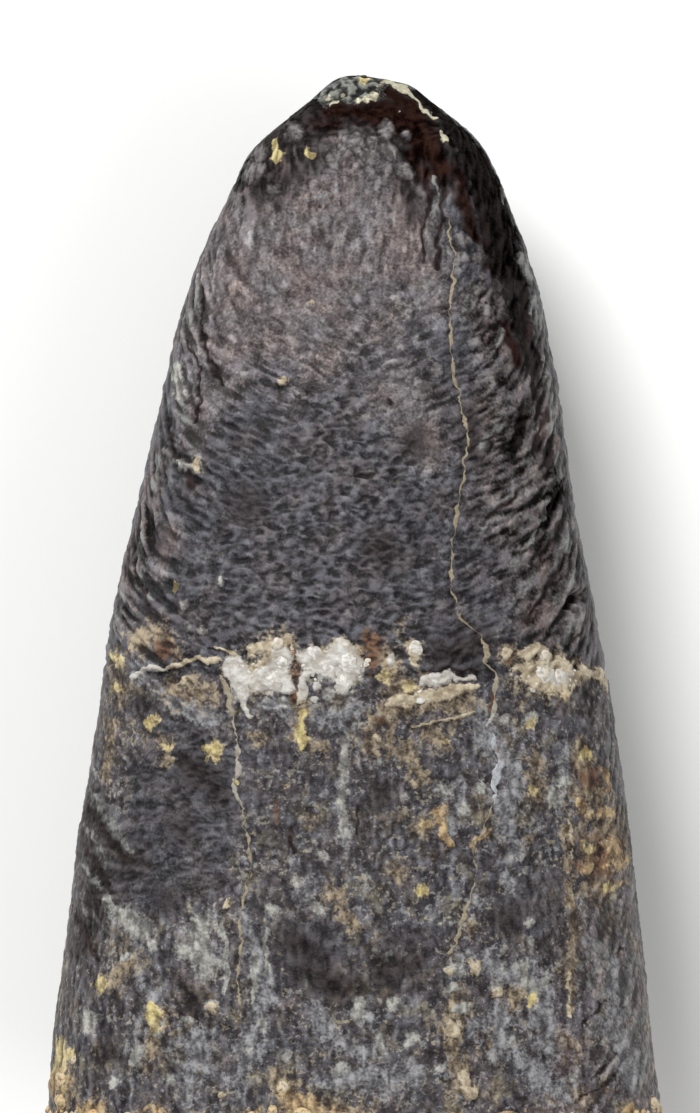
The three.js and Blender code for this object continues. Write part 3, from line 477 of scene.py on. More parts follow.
def markStrength(name, x, distance):
    # 1 on the middle line of the nearest mark of that name, 0 at its radius, down to -1 outside
    best = np.full(x.shape, -1.0)
    for mark in marks[name]:
        line = mark if isinstance(mark, list) else [mark]
        for a, b in zip(line, (line + line[-1:])[1:]):
            run = np.array(b[:2]) - a[:2]
            t = ((x - a[0]) * run[0] + (distance - a[1]) * run[1]) / max(run @ run, 1e-9)
            t = np.clip(t, 0, 1)
            away = np.hypot(x - a[0] - run[0] * t, distance - a[1] - run[1] * t)
            best = np.maximum(best, 1 - away / (a[2] + (b[2] - a[2]) * t))
    return best


wrinkles = {
    "across": 0.095,
    "level": 0.17,  # length of a wrinkle where it runs level
    "turned": 0.27,  # and where it doesn't
    "height": 0.06,
    "ridgeAcross": 0.17,  # the same for the flanks' long ridges
    "ridgeLong": 1.0,
    "ridgeHeight": 0.07,
    "fields": 6,
    # the way the grain runs at some places of the upper face: x, distance from the tip, degrees from
    # level, counted to the left
    "guides": np.array([
        (0, 0.8, 0), (0, 2, 90), (0, 3.5, 90), (-1.3, 3, 95), (-2.3, 3.5, 105), (1.5, 3, 85), (2.4, 3, 80),
        (-0.8, 5, 145), (1, 5.2, 40), (2.6, 5, 75), (0, 8, 0), (-2, 7, 155), (-3.3, 6.5, 125), (-4, 9, 120),
        (-3.4, 11, 150), (-1.5, 10.5, 5), (0, 11, 0), (1.2, 9, 8), (1.2, 6.5, 20), (2.2, 8, 35),
        (2.6, 10, 45), (3.2, 7, 62), (3.8, 9.5, 58), (4.5, 11, 50), (-4, 12.8, 130), (-2.5, 14.5, 5),
        (-4, 15, 10), (-5.2, 15, 120), (0, 14, 88), (1.5, 14, 85), (3, 14, 80), (4.5, 14, 60),
        (5.3, 17, 45), (5.5, 19.5, 45), (0, 18, 88), (-2.5, 18, 88), (-4.5, 18, 100), (3, 18, 85),
    ]),
}


def grainDirection(x, distance):
    # Degrees at each place: the guides' doubled angles as vectors, averaged with weights of one over the
    # squared distance, squared again
    total = np.zeros(x.shape + (2,))
    for guideX, guideDistance, degrees in wrinkles["guides"]:
        weight = ((x - guideX) ** 2 + (distance - guideDistance) ** 2 + 0.3) ** -2
        double = np.radians(2 * degrees)
        total += weight[..., None] * (np.cos(double), np.sin(double))
    return np.degrees(np.arctan2(total[..., 1], total[..., 0])) / 2


def wrinkleRelief(place, share, halfWidth, distance):
    # Fine noise stretched along the grain direction, and a net of ridges where coarser noise crosses
    # zero. A few fixed directions are worked out in coordinates turned that way, and neighbours are
    # blended. The underside has only the level one, in all three dimensions so that it has no seam.
    # The second result is noise of the same kind at the size of the flanks' long ridges.
    arc = share * halfWidth * 1.2
    turned = grainDirection(share * halfWidth, distance)
    under = smoothStep(np.abs(share), 1.15, 1.4)
    spread = 180 / wrinkles["fields"]
    fine = np.zeros(share.shape)
    coarse = fine.copy()
    for number in range(wrinkles["fields"]):
        direction = spread * number
        away = np.abs((turned - direction + 90) % 180 - 90)
        weight = np.clip(1 - away / spread, 0, 1) * (1 - under) + (under if number == 0 else 0)
        a = np.radians(direction)
        if number == 0:
            q = place / (wrinkles["level"], wrinkles["across"], wrinkles["level"])
            long = place / (wrinkles["ridgeLong"], wrinkles["ridgeAcross"], wrinkles["ridgeLong"])
        else:
            forth = arc * np.cos(a) + place[..., 1] * np.sin(a)
            sideways = place[..., 1] * np.cos(a) - arc * np.sin(a)
            apart = 0 * arc + 9 * number
            q = np.stack([forth / wrinkles["turned"], sideways / wrinkles["across"], apart], -1)
            long = np.stack([forth / wrinkles["ridgeLong"], sideways / wrinkles["ridgeAcross"], apart], -1)
        used = weight > 0
        q, long = q[used], long[used]
        q = q + 0.6 * waves(q + 17, 1.4)[:, None] * (0.4, 1, 0.4)
        net = 1 - np.abs(waves(q + 2, 1.5)) / 0.45
        fine[used] += weight[used] * (0.95 * waves(q, 1) + 0.3 * (net - 0.35))
        coarse[used] += weight[used] * waves(long + 0.4 * waves(long + 3, 1.5)[:, None], 1)
    fine += 0.3 * waves(place / (0.4, 0.3, 0.4), 1)
    return np.clip(0.5 + 0.62 * fine, 0, 1), coarse


relief = {
    "swell": 0.06,  # broad unevenness
    "pebble": 0.04,  # rounded grains of the weathered lower half and the worn facet
    "pebbleSize": 0.22,
    "stripe": 0.025,
    "mineral": 0.05,
    "pit": 0.25,
    "lump": 0.03,  # the light lumps near the tip
    "chipDepth": 0.03,
    "chipRoughness": 0.05,
    "rim": 0.02,
    "veinGroove": 0.035,
    "veinGrooveWidth": 0.07,
    "wander": 0.09,  # how far the outlines of marks stray
    "gravel": 0.16,
    "gravelSize": 0.6,
    "sand": 0.06,
}


def dressedCrown(distance, angle):
    # The bare crown moved along its normal by the sum of its reliefs, and the strength of every mark
    bare = bareCrown(distance, angle)
    normal = outward(distance, angle)
    share = roundShare(angle)
    onWall = np.clip(distance, 0, crown["wall"])
    halfWidth = (along(onWall, 2) - along(onWall, 1)) / 2
    above = smoothStep(np.sin(angle), 0.0, 0.2)
    x = bare[..., 0]
    strayX = x + relief["wander"] * (waves(bare, 0.3) + 0.5 * waves(bare, 0.12))
    strayD = distance + relief["wander"] * (waves(bare + 40, 0.3) + 0.5 * waves(bare + 40, 0.12))
    masks = {}
    for name in marks:
        masks[name] = np.where(above > 0, markStrength(name, strayX, strayD) * above - (1 - above), -1.0)

    fromBreak = distance - breakLine(angle)
    masks["lower"] = smoothStep(fromBreak, -0.2, 0.4)
    stray = 0.5 * waves(bare, 0.9) + 0.2 * waves(bare, 0.35)
    masks["matrix"] = smoothStep(distance + stray, crown["wall"] - 0.25, crown["wall"] - 0.05)

    fold, coarse = wrinkleRelief(bare, share, halfWidth, distance)
    nearest, second, tone = grains(bare + 0.05 * waves(bare, 0.3)[..., None], relief["pebbleSize"])
    dome = np.clip((second - nearest) / 0.45, 0, 1) ** 0.6
    worn = smoothStep(masks["worn"] + 0.25 * waves(bare, 0.5), 0.0, 0.45)
    lower = masks["lower"]
    masks["weathered"] = lower * (1 - smoothStep(masks["fresh"] + 0.3 * waves(bare, 0.7), -0.4, 0.4))
    wrinkled = (1 - 0.55 * worn) * (1 - 0.3 * lower) * (1 - masks["matrix"])
    wrinkled *= smoothStep(distance, 0.3, 1.2)
    pebbled = 0.1 + 0.1 * worn + 0.5 * worn * smoothStep(distance, 2.6, 1.6) + 0.3 * masks["weathered"]
    pebbled *= 1 - masks["matrix"]
    flanks = smoothStep(np.abs(share), 0.35, 0.7) * smoothStep(distance, 1.5, 4) * (1 - masks["matrix"])
    flanks *= 1 - 0.5 * lower

    lift = relief["swell"] * waves(bare, 2.6) + 0.4 * relief["swell"] * waves(bare, 0.9)
    fineLift = wrinkles["height"] * (fold - 0.5) * wrinkled + relief["pebble"] * (dome - 0.6) * pebbled
    lift += fineLift + wrinkles["ridgeHeight"] * coarse * flanks
    stripes = smoothStep(masks["paleStripeAndGlint"], -0.5, 0.6) - smoothStep(masks["darkStripe"], -0.5, 0.6)
    lift += relief["stripe"] * stripes * (1 - 0.8 * lower)
    lift -= relief["pit"] * smoothStep(masks["pit"], -0.7, 0.6)

    # The break is a jagged groove, and its lower lip stands a little proud on the right
    crust = np.maximum(np.maximum(masks["white"], masks["cream"]), masks["ochre"])
    filled = smoothStep(crust, -0.6, 0.3)
    groove = np.exp(-((fromBreak / fracture["width"]) ** 2))
    lift -= fracture["depth"] * groove * (1 - 0.8 * filled)
    lip = smoothStep(x, 2, 4.5) * smoothStep(fromBreak, 0, 0.08) * (1 - smoothStep(fromBreak, 0.5, 4))
    lift += fracture["step"] * lip
    lumps = np.clip(1 - grains(bare, 0.33)[0], 0, 1)
    lift += relief["mineral"] * smoothStep(crust, -0.25, 0.35) * (0.6 + 1.2 * lumps)

    # The veins lie in shallow grooves
    for name in ("left", "right"):
        line = np.array(veins[name])
        middle = np.interp(distance, line[:, 1], line[:, 0])
        beside = (distance > line[0, 1]) & (distance < line[-1, 1]) & (above > 0.5)
        hollow = np.exp(-(((x - middle) / relief["veinGrooveWidth"]) ** 2))
        lift -= np.where(beside, relief["veinGroove"] * hollow, 0)

    # The chipped apex is rough, and the rim beside it a sharp edge
    chipped = smoothStep(masks["chipped"], -0.1, 0.2)
    crumbs = chipped * (waves(bare, 0.17) + 0.5 * waves(bare, 0.08))
    lift += relief["chipRoughness"] * crumbs - relief["chipDepth"] * chipped
    lift += relief["rim"] * smoothStep(masks["rim"], -0.3, 0.4)
    lift += relief["lump"] * np.clip(masks["pebble"] + 0.1, 0, 1) ** 0.5
    # A ring just outside each pale lump whose colour is darkened: painted shade at the lump's foot
    lumpFootShade = np.exp(-(((masks["pebble"] + 0.2) / 0.15) ** 2))

    # The matrix on the end is gravel
    near, beyond, stoneTone = grains(bare + 0.16 * waves(bare, 0.45)[..., None], relief["gravelSize"])
    bump = np.clip((beyond - near) / 0.5, 0, 1) ** 0.6
    lift += masks["matrix"] * (relief["gravel"] * (bump - 0.8) + relief["sand"] * waves(bare, 0.17))

    # The relief that the enamel's colour follows, so its low places are painted darker as shade
    shown = fineLift / wrinkles["height"] * (1 - 0.25 * flanks) + 1.05 * coarse * flanks
    masks["relief"] = np.clip(0.5 + shown, 0, 1)
    masks["relief"] = np.where(masks["matrix"] > 0.5, bump, masks["relief"])
    masks["relief"] = np.clip(masks["relief"] + 0.8 * crumbs, 0, 1)
    # Painted shade: the colour is darkened further in the open break groove and in the ring round the pale
    # lumps
    masks["relief"] *= (1 - 0.3 * groove * (1 - filled)) * (1 - 0.45 * lumpFootShade)
    masks["tone"] = np.where(masks["matrix"] > 0.5, stoneTone, tone)
    place = bare + normal * lift[..., None]
    place[..., 2] = np.maximum(place[..., 2], 0)
    return place, normal, masks


def makePiece(name, points, faces, values, material):
    # points in millimetres, faces as lists of corner numbers, values as one number a point by name
    mesh = bpy.data.meshes.new(name)
    mesh.from_pydata((points * mm).tolist(), [], faces)
    mesh.polygons.foreach_set("use_smooth", [True] * len(mesh.polygons))
    for key, value in values.items():
        layer = mesh.attributes.new(key, "FLOAT", "POINT")
        layer.data.foreach_set("value", np.ascontiguousarray(value, np.float32).ravel())
    mesh.materials.append(material)
    mesh.update()
    piece = bpy.data.objects.new(name, mesh)
    bpy.context.scene.collection.objects.link(piece)
    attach(piece, "root")
    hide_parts("tooth")
    print(name, "made with", sum(len(face) - 2 for face in faces), "triangles")
    return piece


def closedSkin(grid, first, last):
    # Corner numbers of a skin over a grid of points, each of its rows a closed ring, between two end points
    count, size = grid
    here = np.arange(size)
    after = (here + 1) % size
    ring = np.arange(count - 1)[:, None] * size
    quads = np.stack([ring + here, ring + size + here, ring + size + after, ring + after], -1).reshape(-1, 4)
    lastRing = (count - 1) * size
    return (
        [(first, a, b) for a, b in zip(here.tolist(), after.tolist())]
        + quads.tolist()
        + [(last, lastRing + b, lastRing + a) for a, b in zip(here.tolist(), after.tolist())]
    )


lengths = {
    "columns": 420,
    "underShare": 0.09,  # columns to a millimetre on the underside as a share of those on the top
    # the crown in four lengths that meet point for point: name, distance of its end, rows
    "parts": [
        ("crown_tip", 6.1, 225), ("crown_middle", fracture["at"], 215), ("crown_lower", 16.3, 190),
        ("crown_base", crown["wall"], 150),
    ],
    "endRows": 60,
    "inward": 0.35,  # depth of the closed faces where they meet
}


def columnAngles():
    # Columns evenly spaced by length round the middle section, and crowded on the upper face
    crowd = lengths["underShare"] + (1 - lengths["underShare"]) * smoothStep(np.sin(roundTable), -0.5, 0.1)
    weight = np.concatenate([[0], np.cumsum(stretches * (crowd[1:] + crowd[:-1]) / 2)])
    evenly = np.arange(lengths["columns"]) / lengths["columns"] * weight[-1]
    return np.interp(evenly, weight, roundTable)


def cutLine(distance, angle):
    # Where two lengths meet: the break, the broken edge, or a wandering line
    if distance == fracture["at"]:
        return breakLine(angle)
    if distance == crown["wall"]:
        return distance + 0 * angle
    return distance + 0.2 * np.sin(5 * angle) + 0.1 * np.sin(13 * angle)


def crownLengths(material):
    angles = columnAngles()
    start = 0 * angles
    crowding = crown["tipCrowding"]
    for name, cut, rows in lengths["parts"]:
        end = cutLine(cut, angles)
        first, last = name == "crown_tip", name == "crown_base"
        row = np.arange(1 if first else 0, rows + 1)[:, None] / rows
        if first:
            row = (np.hypot(row, crowding) - crowding) / (np.hypot(1, crowding) - crowding)
        distance = start + (end - start) * row
        if last:
            beyond = np.arange(1, lengths["endRows"])[:, None] / lengths["endRows"] + 0 * angles
            distance = np.concatenate([distance, crown["wall"] + beyond])
        place, _, masks = dressedCrown(distance, np.broadcast_to(angles, distance.shape))

        # The tip and the middle of the broken end are poles on the outside. Elsewhere a point inside the
        # crown closes the length off behind a sharp edge.
        above = bareCrown(np.zeros(1), np.full(1, np.pi / 2))[0]
        if not first:
            above = place[0].mean(0) - (0, lengths["inward"], 0)
        below = bareCrown(np.full(1, crown["wall"] + 1), np.full(1, np.pi / 2))[0]
        if not last:
            below = place[-1].mean(0) + (0, lengths["inward"], 0)
        points = np.concatenate([place.reshape(-1, 3), [above, below]])
        values = {
            key: np.concatenate([value.reshape(-1), [value[0].mean(), value[-1].mean()]])
            for key, value in masks.items()
        }
        count = distance.size
        skin = [face[::-1] for face in closedSkin(distance.shape, count, count + 1)]
        piece = makePiece(name, points, skin, values, material)
        rims = np.zeros(len(points), int)
        rims[: 0 if first else len(angles)] = 1
        rims[count if last else count - len(angles) : count] = 2
        edges = np.empty(2 * len(piece.data.edges), int)
        piece.data.edges.foreach_get("vertices", edges)
        ends = rims[edges.reshape(-1, 2)]
        sharp = piece.data.attributes.new("sharp_edge", "BOOLEAN", "EDGE")
        sharp.data.foreach_set("value", (ends[:, 0] > 0) & (ends[:, 0] == ends[:, 1]))
        start = end


def wobble(count, width, weight):
    # Random steps, each taken together with its neighbours
    return np.convolve(dice.normal(size=count), np.full(width, weight), "same")


def makeVeins(material):
    # A tube along each vein: four points across its low crown and two buried in the tooth
    across = np.array([-1.25, -0.7, 0.7, 1.25, 0.8, -0.8])
    heights = np.array([-0.03, 1.0, 1.0, -0.03, -4.0, -4.0]) * veins["lift"]
    points, faces, tint = [], [], []
    start = 0
    for name in ("left", "right"):
        line = np.array(veins[name])
        distance = np.arange(line[0, 1], line[-1, 1], veins["step"])
        sway = wobble(len(distance), 3, 1 / 2) + wobble(len(distance), 9, 1 / 3)
        x = np.interp(distance, line[:, 1], line[:, 0]) + veins["jitter"] * sway
        thin = wobble(len(distance), 5, 1 / 5)
        half = np.interp(distance, line[:, 1], line[:, 2]) * (0.65 + thin).clip(0.12, 1.15)
        half[[0, -1]] = 0.004
        xs = x[:, None] + half[:, None] * across
        rows = np.broadcast_to(distance[:, None], xs.shape)
        angle = angleAbove(rows, xs)
        place, normal, _ = dressedCrown(rows, angle)
        place = place + normal * heights[:, None]
        count = xs.size
        points += [place.reshape(-1, 3), place[0].mean(0)[None], place[-1].mean(0)[None]]
        skin = closedSkin(xs.shape, count, count + 1)
        faces += [tuple(start + corner for corner in face) for face in skin]
        bluish = np.interp(distance, [11.5, 12.5, 13.2, 14.3, 14.7], [0, 0.2, 1, 1, 0])
        bluish *= 1 if name == "right" else 0.3
        tint += [np.repeat(bluish, across.size), [0, 0]]
        start += count + 2
    return makePiece("vein_mineral", np.concatenate(points), faces, {"tint": np.concatenate(tint)}, material)


def ballPoints(rings, segments):
    # A unit ball as rings between two poles
    height = np.cos(np.linspace(0, np.pi, rings + 2)[1:-1])
    turn = np.arange(segments) / segments * 2 * np.pi
    size = np.sqrt(1 - height**2)
    ring = np.stack([
        size[:, None] * np.cos(turn), size[:, None] * np.sin(turn), np.repeat(height[:, None], segments, 1)
    ], -1)
    return np.concatenate([ring.reshape(-1, 3), [[0, 0, 1], [0, 0, -1]]])


def pebbles(name, centres, normals, radii, flatness, rings, segments, tints, material):
    # Each pebble is a ball stretched and turned by chance, dented by noise, and flattened along the
    # normal of what it sits on
    ball = ballPoints(rings, segments)
    count = len(centres)
    turn = np.linalg.qr(dice.normal(size=(count, 3, 3)))[0]
    turn *= np.sign(np.linalg.det(turn))[:, None, None]
    stretch = 1 + 0.3 * (dice.random((count, 1, 3)) - 0.5)
    shape = np.einsum("nij,nkj->nki", turn, ball[None] * stretch)
    dent = 1 + 0.22 * waves(ball[None] * 1.1 + 9.7 * np.arange(count)[:, None, None], 1)
    shape = shape * dent[..., None]
    depth = (shape * normals[:, None]).sum(-1, keepdims=True)
    shape = shape - (1 - np.reshape(flatness, (-1, 1, 1))) * depth * normals[:, None]
    points = centres[:, None] + shape * radii[:, None, None]
    points[..., 2] = np.maximum(points[..., 2], 0)
    skin = closedSkin((rings, segments), len(ball) - 2, len(ball) - 1)
    faces = []
    for number in range(count):
        faces += [tuple(corner + number * len(ball) for corner in face) for face in skin]
    values = {"tint": np.repeat(tints, len(ball)), "chance": np.repeat(dice.random(count), len(ball))}
    return makePiece(name, points.reshape(-1, 3), faces, values, material)


def onCrown(distance, angle, sunk):
    # Points on the dressed crown, moved in by sunk, and the crown's normals there
    place, normal, _ = dressedCrown(distance, angle)
    return place - normal * sunk[..., None], normal


calcite = {
    # lumps that stand proud of the healed break: x, distance from the tip, radius, ochre tint
    "lumps": [
        (-2.2, 11.78, 0.15, 0.0), (-1.9, 11.56, 0.1, 0.4), (-1.62, 12.08, 0.17, 0.0),
        (-1.4, 11.7, 0.14, 0.1), (-1.5, 11.36, 0.13, 0.5), (-1.24, 11.4, 0.15, 0.9),
        (-0.8, 11.54, 0.15, 0.0), (-0.55, 11.84, 0.18, 0.0), (-0.14, 11.74, 0.2, 0.2),
        (-0.18, 11.38, 0.13, 0.4), (-0.2, 12.08, 0.13, 0.0), (0.24, 11.72, 0.11, 0.6),
        (1.2, 11.46, 0.14, 0.4), (1.56, 12.05, 0.11, 0.0), (1.3, 12.42, 0.12, 0.2),
        (3.72, 11.98, 0.17, 0.45), (4.02, 12.02, 0.16, 0.5), (3.36, 11.56, 0.1, 0.5),
        (3.76, 11.6, 0.12, 0.5), (4.94, 11.98, 0.12, 0.4), (-4.8, 11.8, 0.13, 0.6),
    ],
    "crumbs": 36,
    "crumbRadius": (0.03, 0.06),
}


def makeCalcite(material):
    big = np.array(calcite["lumps"])
    distance = big[:, 1]
    centres, normals = onCrown(distance, angleAbove(distance, big[:, 0]), 0.25 * big[:, 2])
    pebbles("calcite_lumps", centres, normals, big[:, 2], 0.3, 15, 22, big[:, 3], material)
    count = calcite["crumbs"]
    x = np.concatenate([dice.uniform(-2.4, 0.3, count // 2), dice.uniform(3.4, 4.4, count - count // 2)])
    distance = fracture["at"] + fracture["slant"] * x + dice.normal(size=count) * 0.15
    radius = dice.uniform(*calcite["crumbRadius"], count)
    centres, normals = onCrown(distance, angleAbove(distance, x), 0.3 * radius)
    pebbles("calcite_crumbs", centres, normals, radius, 0.5, 4, 7, dice.random(count) * 0.6, material)


gravel = {
    # pebbles at the edge of the broken end: x, distance from the tip, radius, tint from pale to orange
    "placed": [
        (-5.15, 20.82, 0.34, 0.95), (-3.93, 20.8, 0.3, 0.7), (-4.35, 20.76, 0.11, 0.1),
        (-2.0, 20.85, 0.28, 0.6), (-1.0, 20.6, 0.24, 0.45), (-1.4, 20.05, 0.14, 0.2),
        (-1.6, 20.5, 0.14, 0.4), (0.0, 20.85, 0.18, 0.3), (0.5, 20.8, 0.2, 0.35), (1.3, 20.85, 0.16, 0.3),
        (2.4, 20.85, 0.18, 0.4), (-2.8, 20.9, 0.18, 0.3), (-5.75, 20.0, 0.22, 0.4), (-5.8, 20.4, 0.26, 0.5),
        (-5.55, 19.6, 0.12, 0.2), (3.4, 20.9, 0.2, 0.5), (4.4, 20.9, 0.22, 0.4), (5.95, 20.55, 0.26, 0.15),
        (5.9, 20.9, 0.24, 0.3), (-0.5, 20.9, 0.2, 0.6),
    ],
    "bigCount": 120,
    "bigRadius": (0.12, 0.4),
    "smallCount": 1300,
    "smallRadius": (0.04, 0.11),
}


def makeGravel(material):
    placed = np.array(gravel["placed"])
    count = gravel["bigCount"]
    reach = crown["wall"] + np.sqrt(dice.random(count)) * 0.95
    angle = dice.uniform(0, 2 * np.pi, count)
    distance = np.concatenate([placed[:, 1], reach])
    angle = np.concatenate([angleAbove(placed[:, 1], placed[:, 0]), angle])
    radius = np.concatenate([placed[:, 2], dice.uniform(*gravel["bigRadius"], count)])
    tint = np.concatenate([placed[:, 3], dice.random(count)])
    centres, normals = onCrown(distance, angle, 0.45 * radius)
    flat = np.concatenate([np.full(len(placed), 0.75), np.full(count, 0.85)])
    pebbles("matrix_pebbles", centres, normals, radius, flat, 9, 14, tint, material)
    count = gravel["smallCount"]
    onEnd = dice.random(count // 2) ** 0.5
    onSide = -0.3 * dice.random(count - count // 2) ** 2
    distance = crown["wall"] + np.concatenate([onEnd, onSide])
    angle = dice.uniform(0, 2 * np.pi, count)
    radius = dice.uniform(*gravel["smallRadius"], count)
    centres, normals = onCrown(distance, angle, 0.2 * radius)
    pebbles("matrix_sand", centres, normals, radius, 0.9, 4, 6, dice.random(count), material)


# Node helpers
def feed(tree, node, inputs):
    # An input is linked where its value is another node's output, and is set to the value otherwise
    for key, value in inputs.items():
        if isinstance(value, bpy.types.NodeSocket):
            tree.links.new(value, node.inputs[key])
        else:
            node.inputs[key].default_value = value


def addNode(tree, kind, inputs=None, **settings):
    node = tree.nodes.new(kind)
    for key, value in settings.items():
        setattr(node, key, value)
    feed(tree, node, inputs or {})
    return node


def mixColours(tree, share, first, second, blend="MIX"):
    # Sockets 6 and 7 of the Mix node are its colours, and output 2 is the mixed colour
    inputs = {0: share, 6: first, 7: second}
    return addNode(tree, "ShaderNodeMix", inputs, data_type="RGBA", blend_type=blend).outputs[2]


def mixValues(tree, share, first, second):
    return addNode(tree, "ShaderNodeMix", {0: share, 2: first, 3: second}).outputs[0]


def calculate(tree, operation, first, second, clamp=False):
    inputs = {0: first, 1: second}
    return addNode(tree, "ShaderNodeMath", inputs, operation=operation, use_clamp=clamp).outputs[0]


def plus(tree, first, second):
    return calculate(tree, "ADD", first, second)


def minus(tree, first, second):
    return calculate(tree, "SUBTRACT", first, second)


def times(tree, first, second):
    return calculate(tree, "MULTIPLY", first, second)


def onVectors(tree, operation, first, second):
    other = "Scale" if operation == "SCALE" else 1
    return addNode(tree, "ShaderNodeVectorMath", {0: first, other: second}, operation=operation).outputs[0]


def ease(tree, value, low, high):
    inputs = {"Value": value, "From Min": low, "From Max": high}
    return addNode(tree, "ShaderNodeMapRange", inputs, interpolation_type="SMOOTHSTEP").outputs[0]


def readMask(tree, name):
    return addNode(tree, "ShaderNodeAttribute", attribute_name=name, attribute_type="GEOMETRY").outputs["Fac"]


def placeOn(tree):
    return addNode(tree, "ShaderNodeTexCoord").outputs["Object"]


def noiseAt(tree, size, detail=3.0, roughness=0.6, stretch=1.0, output="Fac"):
    # Noise whose features are about size millimetres across, stretched along the crown
    where = onVectors(tree, "MULTIPLY", placeOn(tree), (1, 1 / stretch, 1))
    inputs = {"Vector": where, "Scale": 1 / (size * mm), "Detail": detail, "Roughness": roughness}
    return addNode(tree, "ShaderNodeTexNoise", inputs).outputs[output]


def cellsAt(tree, size, wander, stretch):
    # Voronoi cells about size millimetres across and stretched along the crown, with wandering edges
    drift = onVectors(tree, "SUBTRACT", noiseAt(tree, size * 0.8, 2.0, output="Color"), (0.5, 0.5, 0.5))
    drift = onVectors(tree, "SCALE", drift, size * wander * mm)
    where = onVectors(tree, "ADD", placeOn(tree), drift)
    where = onVectors(tree, "MULTIPLY", where, (1, 1 / stretch, 1))
    return addNode(tree, "ShaderNodeTexVoronoi", {"Vector": where, "Scale": 1 / (size * mm)}, feature="F1")


def rampOf(tree, value, stops):
    ramp = addNode(tree, "ShaderNodeValToRGB", {"Fac": value})
    elements = ramp.color_ramp.elements
    while len(elements) < len(stops):
        elements.new(0.5)
    for element, (position, colour) in zip(elements, stops):
        element.position = position
        element.color = colour
    return ramp.outputs["Color"]


def newMaterial(name):
    material = bpy.data.materials.new(name)
    material.use_nodes = True
    tree = material.node_tree
    return material, tree, tree.nodes["Principled BSDF"]


def finishShader(tree, shader, colour, rough, height, strength, depth):
    # Colour, roughness, and a bump from height that is depth millimetres deep
    bump = addNode(tree, "ShaderNodeBump", {"Strength": strength, "Distance": depth * mm, "Height": height})
    feed(tree, shader, {"Base Color": colour, "Roughness": rough, "Normal": bump.outputs[0]})


